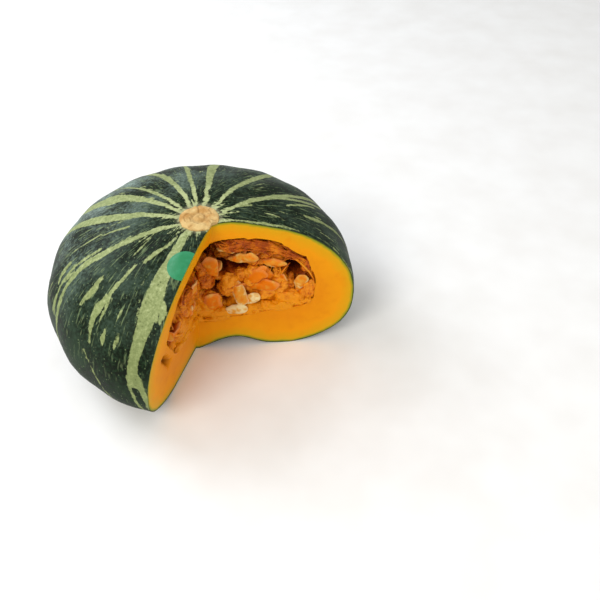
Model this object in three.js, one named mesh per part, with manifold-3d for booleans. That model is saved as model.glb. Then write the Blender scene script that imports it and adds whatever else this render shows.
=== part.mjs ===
// A squat, ribbed, dark green pumpkin with a wedge cut out of it, so that flesh, pulp and seeds show.
// Millimetres and degrees, +Z up. The origin is on the fruit's axis, on the surface that it rests on.
// Azimuths turn anticlockwise from +X, seen from above.

import * as THREE from 'three';
import { mergeVertices } from 'three/addons/utils/BufferGeometryUtils.js';
import Module from 'manifold-3d';

// Skin: two superelliptic halves that meet at the equator, dimpled at the stem and at the blossom end.
const FRUIT_RADIUS = 100;
const EQUATOR_HEIGHT = 40.7;
const CROWN_RISE = 62.8;
const CROWN_POWER = 2.14;
const STEM_DIMPLE = { depth: 4, radius: 12 };
const BASE_DROP = 47.9;
const BASE_POWER = 2.58;
const BLOSSOM_DIMPLE = { depth: 15.1, radius: 41.6 };
const REST_RING = [47.5, 58.5];
const SKIN_SEGMENTS = 80;
const SKIN_ROWS = 11;

// Ribs: shallow grooves from the stem to the blossom end. They fade out at the stem and at the resting ring.
const RIB_COUNT = 16;
const RIB_DEPTH = 1.8;
const GROOVE_AZIMUTH = -8;
const RIB_FADE_CROWN = [14, 55];
const RIB_FADE_BASE = [62, 92];

// Seed hollow: a flat-floored dome with a sunk roof under the stem and a sunk floor over the blossom end.
const HOLLOW_RADIUS = 75;
const HOLLOW_HEIGHT = 50;
const HOLLOW_RISE = 40;
const HOLLOW_RISE_POWER = 2.4;
const HOLLOW_ROOF_DIP = { depth: 10, radius: 22 };
const HOLLOW_DROP = 19;
const HOLLOW_DROP_POWER = 3;
const HOLLOW_FLOOR_DIP = { depth: 11, radius: 25 };
const HOLLOW_SEGMENTS = 36;
const HOLLOW_ROWS = 6;

// Knife faces of the missing wedge. Offset is the face's distance from the fruit's middle along its normal.
const KNIFE_MIDDLE = new THREE.Vector3(0, 0, 48.15);
const RIGHT_FACE = { azimuth: 13.5, tilt: -4, offset: -18.2, opens: -1 };
const LEFT_FACE = { azimuth: -98.8, tilt: -8.8, offset: 6.9, opens: 1 };
const CUTTER_SIZE = 400;

// Clearance between neighbouring pieces, and between the bunches and the wall of the hollow.
const GAP = 0.35;
const HOLLOW_CLEARANCE = 0.6;

// Corky button where the stem came off. Its foot is sunk in the dimple, and the knife trims its edge.
const STEM_PLACE = { x: 4.7, y: -8 };
const STEM_FOOT = 93;
const STEM_SEGMENTS = 24;
const STEM_OUTLINE = [
  { radius: 11.6, height: 102.3 },
  { radius: 8.7, height: 102.8 },
  { radius: 5.2, height: 101.6 },
  { radius: 2.8, height: 102.4 },
];

// Round blank label on the skin, cut by the knife together with the rind.
const LABEL = { azimuth: -84, distance: 47, radius: 9.8, thickness: 0.6, punchLength: 12, segments: 28 };
const SLOPE_STEP = 1;

// Seeds: flat drops with a sharp rim, narrower at the root end.
const SEED = { length: 17, width: 10.5, thickness: 3.8, taper: 0.25, sides: 6, rows: 4 };
const SEED_ROOT = 4;
const SEED_LEAN = [8, 42];
const SEED_ROLL = 40;
const GOLDEN_ANGLE = 137.508;
const RANDOM = { start: 20231, factor: 1664525, step: 1013904223, range: 2 ** 32 };

// Strings of pulp: thin cords that arch over the bunch's surface between two places where they are rooted.
const STRING = { radius: 1.1, sides: 4, steps: 5, root: 3, rise: 3.5, reach: 40 };

// Seed bunches: a core of pulp with seeds and strings standing out of it. A bunch's own frame has X along its
// knife face, Y across it and Z up. Sectors keep the bunches apart.
const CORE_POWER = 2.6;
const CORE_SIDES = 14;
const CORE_ROWS = 9;
const LUMP = { depth: 3.5, waves: 4.5, shiftX: 1, shiftY: 2 };
const BUNCHES = [
  {
    name: 'seed_bunch_right',
    colour: 0xc4701c,
    turn: RIGHT_FACE.azimuth,
    centre: [38, 6, 54],
    radii: [36, 18, 25],
    sector: [-78, 80],
    seeds: 40,
    strings: 8,
    shown: [
      { along: 25, behind: 7, height: 68, turn: 20, lean: 20 },
      { along: 45, behind: 7, height: 64, turn: 2, lean: 18 },
      { along: 24, behind: 6, height: 42, turn: 100, lean: 22 },
      { along: 36, behind: 6, height: 48, turn: 130, lean: 22 },
      { along: 20, behind: 6, height: 33, turn: 12, lean: 20 },
      { along: 32, behind: 6, height: 37, turn: 45, lean: 20 },
      { along: 62, behind: 8, height: 50, turn: 75, lean: 20 },
      { along: 52, behind: 7, height: 40, turn: 150, lean: 24 },
    ],
  },
  {
    name: 'seed_bunch_back',
    colour: 0xb5651a,
    turn: 45,
    centre: [0, 37, 54],
    radii: [36, 29, 25],
    sector: [80, 190],
    seeds: 26,
    strings: 4,
    shown: [],
  },
  {
    name: 'seed_bunch_left',
    colour: 0xbd6a1a,
    turn: LEFT_FACE.azimuth,
    centre: [38, -12, 55],
    radii: [33, 15, 24],
    sector: [190, 282],
    seeds: 34,
    strings: 6,
    shown: [],
  },
];

// Points closer than this are one point.
const WELD = 1e-4;

const wasm = await Module();
wasm.setup();

const radians = THREE.MathUtils.degToRad;

// Seeded draws, so that every build places the same seeds.
let drawState = RANDOM.start;
function draw(low, high) {
  drawState = (Math.imul(drawState, RANDOM.factor) + RANDOM.step) >>> 0;
  return low + ((high - low) * drawState) / RANDOM.range;
}

function bump(radius, dimple) {
  return dimple.depth * Math.exp(-((radius / dimple.radius) ** 2));
}

function superArc(fraction, power) {
  return (1 - fraction ** power) ** (1 / power);
}

function crownHeight(radius) {
  return EQUATOR_HEIGHT + CROWN_RISE * superArc(radius / FRUIT_RADIUS, CROWN_POWER);
}

// The lowest part of the base is a flat ring on the resting plane.
function baseHeight(radius) {
  const arc = superArc(radius / FRUIT_RADIUS, BASE_POWER);
  return Math.max(0, EQUATOR_HEIGHT - BASE_DROP * arc + bump(radius, BLOSSOM_DIMPLE));
}

function hollowRoof(radius) {
  const arc = superArc(radius / HOLLOW_RADIUS, HOLLOW_RISE_POWER);
  return HOLLOW_HEIGHT + HOLLOW_RISE * arc - bump(radius, HOLLOW_ROOF_DIP);
}

function hollowFloor(radius) {
  const arc = superArc(radius / HOLLOW_RADIUS, HOLLOW_DROP_POWER);
  return HOLLOW_HEIGHT - HOLLOW_DROP * arc - bump(radius, HOLLOW_FLOOR_DIP);
}

// Profile from the bottom of the axis out to the widest radius and up to the top of the axis.
function roundProfile(widest, rows, floor, roof, floorRings = []) {
  const radii = [];
  for (let row = 0; row <= rows; row += 1) radii.push(widest * Math.sin((row / rows) * (Math.PI / 2)));
  const outwards = [...radii, ...floorRings].sort((a, b) => a - b);
  const inwards = radii.slice(0, -1).reverse();
  return [
    ...outwards.map((radius) => new THREE.Vector2(radius, floor(radius))),
    ...inwards.map((radius) => new THREE.Vector2(radius, roof(radius))),
  ];
}

// A lathe about +Z, with azimuth 0 on +X.
function turned(profile, segments) {
  return new THREE.LatheGeometry(profile, segments).rotateX(Math.PI / 2).rotateZ(Math.PI / 2);
}

function reshape(geometry, move) {
  const places = geometry.attributes.position;
  const point = new THREE.Vector3();
  for (let index = 0; index < places.count; index += 1) {
    move(point.fromBufferAttribute(places, index));
    places.setXYZ(index, point.x, point.y, point.z);
  }
  return geometry;
}

// Depth of the rib relief at a point of the skin.
function ribRelief(point) {
  const radius = Math.hypot(point.x, point.y);
  const fade = point.z > EQUATOR_HEIGHT ? RIB_FADE_CROWN : RIB_FADE_BASE;
  const strength = THREE.MathUtils.smoothstep(radius, fade[0], fade[1]);
  const wave = Math.cos(RIB_COUNT * (Math.atan2(point.y, point.x) - radians(GROOVE_AZIMUTH)));
  return (RIB_DEPTH / 2) * strength * (1 + wave);
}

// Ribs press in towards a point on the axis at the equator's height, and the crown sinks round the stem.
function shapeSkin(point) {
  const middle = new THREE.Vector3(0, 0, EQUATOR_HEIGHT);
  const inwards = middle.sub(point).normalize();
  const onCrown = point.z > EQUATOR_HEIGHT;
  point.addScaledVector(inwards, ribRelief(point));
  const fromStem = Math.hypot(point.x - STEM_PLACE.x, point.y - STEM_PLACE.y);
  if (onCrown) point.z -= bump(fromStem, STEM_DIMPLE);
}

function skinGeometry() {
  const profile = roundProfile(FRUIT_RADIUS, SKIN_ROWS, baseHeight, crownHeight, REST_RING);
  return reshape(turned(profile, SKIN_SEGMENTS), shapeSkin);
}

// The hollow, drawn in towards its middle by a clearance.
function hollowGeometry(clearance) {
  const hollow = turned(roundProfile(HOLLOW_RADIUS, HOLLOW_ROWS, hollowFloor, hollowRoof), HOLLOW_SEGMENTS);
  const middle = new THREE.Vector3(0, 0, HOLLOW_HEIGHT);
  return reshape(hollow, (point) => {
    const inwards = middle.clone().sub(point).normalize();
    point.addScaledVector(inwards, clearance);
  });
}

// A closed geometry as a solid that can be joined and cut.
function solidOf(geometry) {
  const bare = geometry.clone();
  bare.deleteAttribute('normal');
  bare.deleteAttribute('uv');
  const merged = mergeVertices(bare, WELD);
  const corners = merged.index.array;
  const triVerts = [];
  for (let index = 0; index < corners.length; index += 3) {
    const [a, b, c] = corners.slice(index, index + 3);
    if (a !== b && b !== c && c !== a) triVerts.push(a, b, c);
  }
  const vertProperties = Float32Array.from(merged.attributes.position.array);
  const mesh = new wasm.Mesh({ numProp: 3, vertProperties, triVerts: Uint32Array.from(triVerts) });
  return new wasm.Manifold(mesh);
}

function geometryOf(solid) {
  const { vertProperties, triVerts } = solid.getMesh();
  const geometry = new THREE.BufferGeometry();
  geometry.setAttribute('position', new THREE.BufferAttribute(vertProperties, 3));
  geometry.setIndex(new THREE.BufferAttribute(triVerts, 1));
  geometry.computeVertexNormals();
  return geometry;
}

function faceNormal(face) {
  const azimuth = radians(face.azimuth);
  const tilt = radians(face.tilt);
  return new THREE.Vector3(
    -Math.sin(azimuth) * Math.cos(tilt),
    Math.cos(azimuth) * Math.cos(tilt),
    Math.sin(tilt),
  );
}

// A block that fills the space on one side of a plane.
function halfSpace(normal, place, side) {
  const block = new THREE.BoxGeometry(CUTTER_SIZE, CUTTER_SIZE, CUTTER_SIZE);
  block.translate(0, (side * CUTTER_SIZE) / 2, 0);
  block.applyQuaternion(new THREE.Quaternion().setFromUnitVectors(new THREE.Vector3(0, 1, 0), normal));
  block.translate(place.x, place.y, place.z);
  return solidOf(block);
}

function openSide(face) {
  const normal = faceNormal(face);
  return halfSpace(normal, KNIFE_MIDDLE.clone().addScaledVector(normal, face.offset), face.opens);
}

// The space between two azimuths round the axis, less than half a turn apart, kept clear of its neighbours.
function sectorSolid([from, to]) {
  const start = new THREE.Vector3(-Math.sin(radians(from)), Math.cos(radians(from)), 0);
  const end = new THREE.Vector3(-Math.sin(radians(to)), Math.cos(radians(to)), 0);
  const pastStart = halfSpace(start, start.clone().multiplyScalar(GAP / 2), 1);
  const beforeEnd = halfSpace(end, end.clone().multiplyScalar(-GAP / 2), -1);
  return pastStart.intersect(beforeEnd);
}

function largestBody(solid) {
  const bodies = solid.decompose();
  return bodies.reduce((best, body) => (body.volume() > best.volume() ? body : best));
}

// One seed with its root end at the origin, long axis on +X and flat side on Z.
function seedGeometry() {
  const seed = new THREE.SphereGeometry(1, SEED.sides, SEED.rows).rotateZ(-Math.PI / 2).rotateX(Math.PI / 2);
  return reshape(seed, (point) => {
    const narrow = 1 - SEED.taper * (1 - point.x);
    point.set(
      ((point.x + 1) * SEED.length) / 2,
      (point.y * narrow * SEED.width) / 2,
      (point.z * narrow * SEED.thickness) / 2,
    );
  });
}

// Places a geometry with its X along one direction and its Z as near as can be to another.
function aim(geometry, along, facing, place) {
  const x = along.clone().normalize();
  const y = facing.clone().cross(x).normalize();
  const z = x.clone().cross(y);
  return geometry.applyMatrix4(new THREE.Matrix4().makeBasis(x, y, z).setPosition(place));
}

// A bunch's own frame: X along its face, Y into the fruit, Z up.
function bunchFrame(bunch) {
  const turn = new THREE.Matrix4().makeRotationZ(radians(bunch.turn));
  const [along, inwards, height] = bunch.centre;
  return turn.clone().multiply(new THREE.Matrix4().makeTranslation(along, inwards, height));
}

function coreLump(direction) {
  const [x, y, z] = direction.clone().multiplyScalar(LUMP.waves);
  return LUMP.depth * Math.sin(x + LUMP.shiftX) * Math.sin(y + LUMP.shiftY) * Math.cos(z);
}

// Place on the core for a direction from its middle.
function corePlace(direction, radii) {
  const total = [...direction].reduce((sum, part) => sum + Math.abs(part) ** CORE_POWER, 0);
  const reach = total ** (-1 / CORE_POWER);
  const place = new THREE.Vector3(...radii).multiply(direction).multiplyScalar(reach);
  return place.addScaledVector(direction, coreLump(direction));
}

function coreNormal(direction, radii) {
  return direction.clone().divide(new THREE.Vector3(...radii)).normalize();
}

function coreGeometry(bunch) {
  const core = new THREE.SphereGeometry(1, CORE_SIDES, CORE_ROWS).rotateX(Math.PI / 2);
  reshape(core, (point) => point.copy(corePlace(point.clone().normalize(), bunch.radii)));
  return core.applyMatrix4(bunchFrame(bunch));
}

// Evenly spread directions, one for each step of a spiral round the core.
function spiralDirection(step, count) {
  const height = 1 - (2 * (step + 0.5)) / count;
  const ring = Math.sqrt(1 - height * height);
  const angle = radians(step * GOLDEN_ANGLE);
  return new THREE.Vector3(ring * Math.cos(angle), ring * Math.sin(angle), height);
}

// Two directions across a normal.
function tangents(normal) {
  const first = new THREE.Vector3(0, 0, 1).cross(normal).normalize();
  return [first, normal.clone().cross(first)];
}

// Seeds that stand out of the core on all sides, rooted in it and leaning at drawn angles.
function spiralSeeds(bunch) {
  const seeds = [];
  for (let step = 0; step < bunch.seeds; step += 1) {
    const direction = spiralDirection(step, bunch.seeds);
    const normal = coreNormal(direction, bunch.radii);
    const [first, second] = tangents(normal);
    const turn = radians(draw(0, 360));
    const lean = radians(draw(...SEED_LEAN));
    const roll = radians(draw(-SEED_ROLL, SEED_ROLL));
    const flat = first.multiplyScalar(Math.cos(turn)).addScaledVector(second, Math.sin(turn));
    const along = flat.multiplyScalar(Math.cos(lean)).addScaledVector(normal, Math.sin(lean));
    const root = corePlace(direction, bunch.radii).addScaledVector(along, -SEED_ROOT);
    const facing = normal.applyAxisAngle(along, roll);
    seeds.push(aim(seedGeometry(), along, facing, root).applyMatrix4(bunchFrame(bunch)));
  }
  return seeds;
}

// Seeds that show behind a knife face, each at its own place, flat side towards the face and root end sunk.
function shownSeeds(bunch) {
  const facing = new THREE.Vector3(0, -1, 0);
  const turn = new THREE.Matrix4().makeRotationZ(radians(bunch.turn));
  const front = RIGHT_FACE.offset;
  return bunch.shown.map((seed) => {
    const angle = radians(seed.turn);
    const lean = radians(seed.lean);
    const across = Math.cos(lean);
    const along = new THREE.Vector3(Math.cos(angle) * across, -Math.sin(lean), Math.sin(angle) * across);
    const middle = new THREE.Vector3(seed.along, front + seed.behind, seed.height);
    const root = middle.addScaledVector(along, -SEED.length / 2);
    return aim(seedGeometry(), along, facing, root).applyMatrix4(turn);
  });
}

// A string that leaves the core, arches over it and goes back in.
function pulpString(bunch, step) {
  const from = spiralDirection(step, bunch.strings);
  const axis = new THREE.Vector3(draw(-1, 1), 1, draw(-1, 1)).normalize();
  const middle = from.clone().applyAxisAngle(axis, radians(STRING.reach / 2));
  const to = from.clone().applyAxisAngle(axis, radians(STRING.reach));
  const above = (direction, height) => {
    const place = corePlace(direction, bunch.radii);
    return place.addScaledVector(coreNormal(direction, bunch.radii), height);
  };
  const route = new THREE.CatmullRomCurve3([
    above(from, -STRING.root),
    above(middle, STRING.rise),
    above(to, -STRING.root),
  ]);
  const corners = [];
  for (let side = 0; side < STRING.sides; side += 1) {
    const angle = (side / STRING.sides) * 2 * Math.PI;
    corners.push(new THREE.Vector2(STRING.radius, 0).rotateAround(new THREE.Vector2(), angle));
  }
  const settings = { steps: STRING.steps, extrudePath: route };
  return new THREE.ExtrudeGeometry(new THREE.Shape(corners), settings).applyMatrix4(bunchFrame(bunch));
}

function finish(color, roughness) {
  return new THREE.MeshStandardMaterial({ color, roughness, metalness: 0 });
}

function namedMesh(name, solid, material) {
  const mesh = new THREE.Mesh(geometryOf(solid), material);
  mesh.name = name;
  return mesh;
}

const notch = openSide(RIGHT_FACE).intersect(openSide(LEFT_FACE));

function fruitWall() {
  const wall = solidOf(skinGeometry()).subtract(solidOf(hollowGeometry(0))).subtract(notch);
  return namedMesh('fruit_wall', wall, finish(0x33442f, 0.5));
}

function stemButton() {
  const crust = STEM_OUTLINE.map((point) => new THREE.Vector2(point.radius, point.height));
  const nub = STEM_OUTLINE.at(-1);
  const profile = [
    new THREE.Vector2(0, STEM_FOOT),
    new THREE.Vector2(STEM_OUTLINE[0].radius, STEM_FOOT),
    ...crust,
    new THREE.Vector2(0, nub.height),
  ];
  const blank = turned(profile, STEM_SEGMENTS).translate(STEM_PLACE.x, STEM_PLACE.y, 0);
  const bed = skinGeometry().translate(0, 0, GAP);
  const button = solidOf(blank).subtract(solidOf(bed)).subtract(notch);
  return namedMesh('stem_button', largestBody(button), finish(0xd4ad6d, 0.9));
}

function blankLabel() {
  const azimuth = radians(LABEL.azimuth);
  const outwards = new THREE.Vector3(Math.cos(azimuth), Math.sin(azimuth), 0);
  const fall = crownHeight(LABEL.distance - SLOPE_STEP) - crownHeight(LABEL.distance + SLOPE_STEP);
  const slope = fall / (2 * SLOPE_STEP);
  const normal = outwards.clone().multiplyScalar(slope).add(new THREE.Vector3(0, 0, 1)).normalize();
  const place = outwards.multiplyScalar(LABEL.distance).setZ(crownHeight(LABEL.distance));
  const punch = new THREE.CylinderGeometry(LABEL.radius, LABEL.radius, LABEL.punchLength, LABEL.segments);
  punch.applyQuaternion(new THREE.Quaternion().setFromUnitVectors(new THREE.Vector3(0, 1, 0), normal));
  punch.translate(place.x, place.y, place.z);
  const lifted = (height) => {
    const shift = normal.clone().multiplyScalar(height);
    return solidOf(skinGeometry().translate(shift.x, shift.y, shift.z));
  };
  const sheet = lifted(GAP + LABEL.thickness).subtract(lifted(GAP));
  const label = sheet.intersect(solidOf(punch)).subtract(notch);
  return namedMesh('blank_label', largestBody(label), finish(0x3aa06a, 0.4));
}

function seedBunch(bunch, room) {
  const pieces = [...spiralSeeds(bunch), ...shownSeeds(bunch)];
  for (let step = 0; step < bunch.strings; step += 1) pieces.push(pulpString(bunch, step));
  const core = solidOf(coreGeometry(bunch));
  const fused = pieces.reduce((whole, piece) => whole.add(solidOf(piece)), core);
  const kept = fused.intersect(room).intersect(sectorSolid(bunch.sector));
  return namedMesh(bunch.name, largestBody(kept), finish(bunch.colour, 0.6));
}

const pumpkin = new THREE.Group();
pumpkin.name = 'cut_pumpkin';
pumpkin.add(fruitWall(), stemButton(), blankLabel());
const hollowRoom = solidOf(hollowGeometry(HOLLOW_CLEARANCE)).subtract(notch);
for (const bunch of BUNCHES) pumpkin.add(seedBunch(bunch, hollowRoom));

export default pumpkin;
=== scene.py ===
"""Looks of a squat green pumpkin with a wedge cut out of it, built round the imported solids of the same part.

Lengths in this script are millimetres and angles degrees, in the part's own frame: +Z up along the fruit's
axis, origin on the axis at the surface it rests on, and the missing wedge open towards the front right.
Meshes are turned to metres when they are finished.
"""

import logging
import math
from collections.abc import Callable, Iterable
from dataclasses import dataclass
from enum import Enum, IntEnum
from functools import cached_property, partial
from random import Random

import bmesh
import bpy
from bmesh.types import BMEdge, BMFace, BMLayerItem, BMesh, BMVert
from bpy.types import ID, Material, Mesh, Node, NodeSocket, NodeTree, Object
import numpy as np
from mathutils import Matrix, Quaternion, Vector, kdtree, noise


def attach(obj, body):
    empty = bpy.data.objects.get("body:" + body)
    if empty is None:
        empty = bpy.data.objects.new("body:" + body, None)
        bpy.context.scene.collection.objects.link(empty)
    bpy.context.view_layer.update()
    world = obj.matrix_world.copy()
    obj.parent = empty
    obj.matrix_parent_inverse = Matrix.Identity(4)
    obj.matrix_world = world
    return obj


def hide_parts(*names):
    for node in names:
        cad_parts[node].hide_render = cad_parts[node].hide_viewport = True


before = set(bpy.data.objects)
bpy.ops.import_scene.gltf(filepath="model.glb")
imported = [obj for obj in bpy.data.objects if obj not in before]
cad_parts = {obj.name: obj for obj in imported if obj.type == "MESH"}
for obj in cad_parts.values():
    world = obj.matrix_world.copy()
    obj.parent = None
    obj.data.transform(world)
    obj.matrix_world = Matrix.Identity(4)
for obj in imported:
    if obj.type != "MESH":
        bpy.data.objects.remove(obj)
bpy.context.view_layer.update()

BODY = "root"
METRES = 0.001
WELD = 0.001
CREASE_ANGLE = math.radians(40)
RANDOM_SEED = 20231
DRIFT_SHIFTS = (0, 31.7, 67.3)
UP = Vector((0, 0, 1))

LOG = logging.getLogger("cut_pumpkin")

# Sockets of a colour Mix node, which share their names with its number and vector sockets.
MIX_A, MIX_B, MIX_COLOUR = 6, 7, 2

# Sockets of a Map Range node that are filled in pairs.
FROM = ("From Min", "From Max")
TO = ("To Min", "To Max")

Span = tuple[float, float]
Triple = tuple[float, float, float]
Sockets = dict[str | int | tuple[str, str], object]
Adder = Callable[..., NodeSocket]


class Slot(Enum):
    """Material slots of the part's record."""

    RIND = "rind_and_flesh"
    CORK = "stem_cork"
    LABEL = "label_film"
    PULP = "pulp_and_seeds"


class Layer(Enum):
    """Values stored on a mesh's points for its finish."""

    AROUND = "around"
    ARC = "arc"
    STRIPE = "stripe"
    DEPTH = "skin_depth"
    TONE = "tone"
    RIM = "rim"
    # Share of painted shade in the pulp's folds and pockets and in the flesh's pit, and of the cork's dark
    # cracks.
    CREVICE = "crevice"

    def add_to(self, shape: BMesh) -> BMLayerItem:
        """Adds the layer to a mesh."""
        return shape.verts.layers.float.new(self.value)

    def of(self, shape: BMesh) -> BMLayerItem:
        """The layer of a mesh that has it."""
        return shape.verts.layers.float[self.value]


def to_linear(colour: str) -> tuple[float, float, float, float]:
    """Turns an sRGB hex colour to linear values.

    Args:
        colour: Six hex digits after a hash sign.

    Returns:
        Linear red, green and blue, with an alpha of one.
    """
    parts = [int(colour[start:start + 2], 16) / 255 for start in (1, 3, 5)]
    linear = [part / 12.92 if part <= 0.04045 else ((part + 0.055) / 1.055) ** 2.4 for part in parts]
    return (*linear, 1.0)


def per_metre(size: float) -> float:
    """Scale of a pattern on Object coordinates whose features are this many millimetres apart."""
    return 1 / (size * METRES)


def in_metres(lengths: Iterable[float]) -> tuple[float, ...]:
    """Turns millimetres to metres."""
    return tuple(length * METRES for length in lengths)


def fill(made: Node, inputs: Sockets) -> None:
    """Sets or links the inputs of a node.

    Args:
        made: The node.
        inputs: Values, or sockets to link from, by input name or number. A pair of names takes two values.
    """
    for key, value in inputs.items():
        for name, part in zip(key, value) if isinstance(key, tuple) else [(key, value)]:
            if isinstance(part, NodeSocket):
                made.id_data.links.new(part, made.inputs[name])
            else:
                made.inputs[name].default_value = part


def node(
    tree: NodeTree,
    kind: str,
    inputs: Sockets | None = None,
    out: str | int = 0,
    stops: Iterable[tuple[float, str]] = (),
    **settings: object,
) -> NodeSocket:
    """Adds a shader node with its settings and links.

    Args:
        tree: Node tree that takes the node.
        kind: Node type without its ShaderNode prefix.
        inputs: Values and links of its inputs.
        out: Name or number of the output that is wanted.
        stops: Positions and hex colours of a colour ramp.
        settings: Properties of the node.

    Returns:
        The output.
    """
    made = tree.nodes.new("ShaderNode" + kind)
    for name, value in settings.items():
        setattr(made, name, value)
    fill(made, inputs or {})
    for index, (position, colour) in enumerate(stops):
        elements = made.color_ramp.elements
        stop = elements[index] if index < len(elements) else elements.new(position)
        stop.position = position
        stop.color = to_linear(colour)
    return made.outputs[out]


def smoothstep(value: float, low: float, high: float) -> float:
    """Smooth climb from 0 at the low value to 1 at the high one."""
    part = min(1.0, max(0.0, (value - low) / (high - low)))
    return part * part * (3 - 2 * part)


def turned(angle: float) -> Vector:
    """Level direction at an azimuth in degrees, anticlockwise from +X."""
    return Vector((math.cos(math.radians(angle)), math.sin(math.radians(angle)), 0))


def azimuth_of(place: Vector) -> float:
    """Azimuth of a place in degrees."""
    return math.degrees(math.atan2(place.y, place.x))


def wrapped(angle: float | np.ndarray) -> float | np.ndarray:
    """The same angle between -180 and 180 degrees."""
    return (angle + 180) % 360 - 180


def drift(place: Vector) -> Vector:
    """Smooth uneven offset at a place, up to about one each way."""
    return Vector([noise.noise(place + Vector((shift, 0, 0))) for shift in DRIFT_SHIFTS])


def distance_to(point: Vector, start: Vector, end: Vector) -> float:
    """Measures how far a point is from a straight line.

    Args:
        point: The point.
        start: First end of the line.
        end: Its other end.

    Returns:
        The distance.
    """
    way = end - start
    share = min(1, max(0, (point - start).dot(way) / way.length_squared))
    return (point - start - way * share).length


def chain_of(edges: Iterable[BMEdge]) -> list[BMVert]:
    """Puts the points of an open chain of edges in order.

    Args:
        edges: Edges that join up end to end.

    Returns:
        The points from the chain's upper end to its lower end.
    """
    following: dict[BMVert, list[BMVert]] = {}
    for edge in edges:
        for here, there in (edge.verts, reversed(edge.verts)):
            following.setdefault(here, []).append(there)
    ends = [vert for vert, others in following.items() if len(others) == 1]
    chain = [max(ends, key=lambda vert: vert.co.z)]
    while True:
        onward = [vert for vert in following[chain[-1]] if vert not in chain[-2:]]
        if not onward:
            return chain
        chain.append(onward[0])


def spun(shape: BMesh, line: list[BMVert], steps: int) -> None:
    """Spins a line of points round the vertical axis to a closed skin.

    Args:
        shape: Mesh that holds the points.
        line: The points in order.
        steps: Steps of a full turn.
    """
    edges = [shape.edges.new(pair) for pair in zip(line, line[1:])]
    bmesh.ops.spin(
        shape, geom=[*line, *edges], cent=Vector(), axis=UP, angle=2 * math.pi, steps=steps, use_merge=True)
    bmesh.ops.remove_doubles(shape, verts=shape.verts, dist=WELD)


def meshed(name: str, shape: BMesh) -> Mesh:
    """Turns a shape to a mesh.

    Args:
        name: Name of the mesh.
        shape: The shape, which is freed.

    Returns:
        The mesh.
    """
    mesh = bpy.data.meshes.new(name)
    shape.to_mesh(mesh)
    shape.free()
    return mesh


def linked(name: str, data: ID) -> Object:
    """Adds an object to the scene.

    Args:
        name: Name of the object.
        data: Its mesh, light or camera.

    Returns:
        The object.
    """
    made = bpy.data.objects.new(name, data)
    bpy.context.scene.collection.objects.link(made)
    return made


def finished(
    name: str,
    shape: BMesh,
    finishes: Iterable[Material],
    slot: Slot,
    nodes: Iterable[str] = (),
) -> Object:
    """Turns a shape in millimetres to a piece of the object.

    Args:
        name: Name of the piece.
        shape: Its mesh, which is freed.
        finishes: Materials in the order of the faces' material numbers.
        slot: Slot of the record that the finish belongs to; not used.
        nodes: Solids of the frame that the piece stands for.

    Returns:
        The piece, which rides on the frame's body.
    """
    bmesh.ops.scale(shape, vec=Vector((METRES,) * 3), verts=shape.verts)
    for face in shape.faces:
        face.smooth = True
    mesh = meshed(name, shape)
    for finish in finishes:
        mesh.materials.append(finish)
    piece = linked(name, mesh)
    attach(piece, BODY)
    if nodes:
        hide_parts(*nodes)
    LOG.info("%s: %d faces", name, len(mesh.polygons))
    return piece


@dataclass(frozen=True)
class Dimple:
    """A round dip that fades outwards."""

    depth: float
    radius: float

    def at(self, distance: float) -> float:
        """Depth of the dip at a distance from its middle."""
        return self.depth * math.exp(-((distance / self.radius) ** 2))


def super_arc(fraction: float, power: float) -> float:
    """Height of a superelliptic quarter arc of unit size."""
    return (1 - min(1.0, fraction) ** power) ** (1 / power)


@dataclass(frozen=True)
class FruitForm:
    """Outer form of the fruit: two superelliptic halves, dimpled at both ends and lightly ribbed."""

    radius: float = 100
    equator: float = 40.7
    crown_rise: float = 62.8
    crown_power: float = 2.14
    base_drop: float = 47.9
    base_power: float = 2.58
    blossom: Dimple = Dimple(15.1, 41.6)
    stem_dip: Dimple = Dimple(4, 12)
    stem_place: Span = (4.7, -8)
    ribs: int = 16
    rib_depth: float = 0.8
    groove: float = -8
    rib_fade_crown: Span = (14, 55)
    rib_fade_base: Span = (62, 92)

    def crown(self, radius: float) -> float:
        """Height of the crown before the stem's dip."""
        return self.equator + self.crown_rise * super_arc(radius / self.radius, self.crown_power)

    def base(self, radius: float) -> float:
        """Height of the underside, flat on the resting plane where it is lowest."""
        arc = super_arc(radius / self.radius, self.base_power)
        return max(0, self.equator - self.base_drop * arc + self.blossom.at(radius))

    def shaped(self, point: Vector, on_crown: bool) -> Vector:
        """Presses the ribs and the stem's dip into a point of the smooth form.

        Args:
            point: Point on the smooth form.
            on_crown: Whether it is above the equator.

        Returns:
            The point on the skin.
        """
        radius = math.hypot(point.x, point.y)
        fade = self.rib_fade_crown if on_crown else self.rib_fade_base
        wave = math.cos(self.ribs * (math.atan2(point.y, point.x) - math.radians(self.groove)))
        relief = self.rib_depth / 2 * smoothstep(radius, *fade) * (1 + wave)
        inwards = (Vector((0, 0, self.equator)) - point).normalized()
        moved = point + inwards * relief
        if on_crown:
            from_stem = math.hypot(moved.x - self.stem_place[0], moved.y - self.stem_place[1])
            moved.z -= self.stem_dip.at(from_stem)
        return moved

    def crown_point(self, x: float, y: float) -> Vector:
        """Point of the skin above a place near the axis."""
        return self.shaped(Vector((x, y, self.crown(math.hypot(x, y)))), True)

    def crown_normal(self, x: float, y: float, step: float = 0.5) -> Vector:
        """Finds the outward direction of the skin above a place near the axis.

        Args:
            x: Place towards the right.
            y: Place towards the back.
            step: Distance to the points that the direction is measured between.

        Returns:
            The direction, of unit length.
        """
        across = self.crown_point(x + step, y) - self.crown_point(x - step, y)
        along = self.crown_point(x, y + step) - self.crown_point(x, y - step)
        return across.cross(along).normalized()


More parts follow.
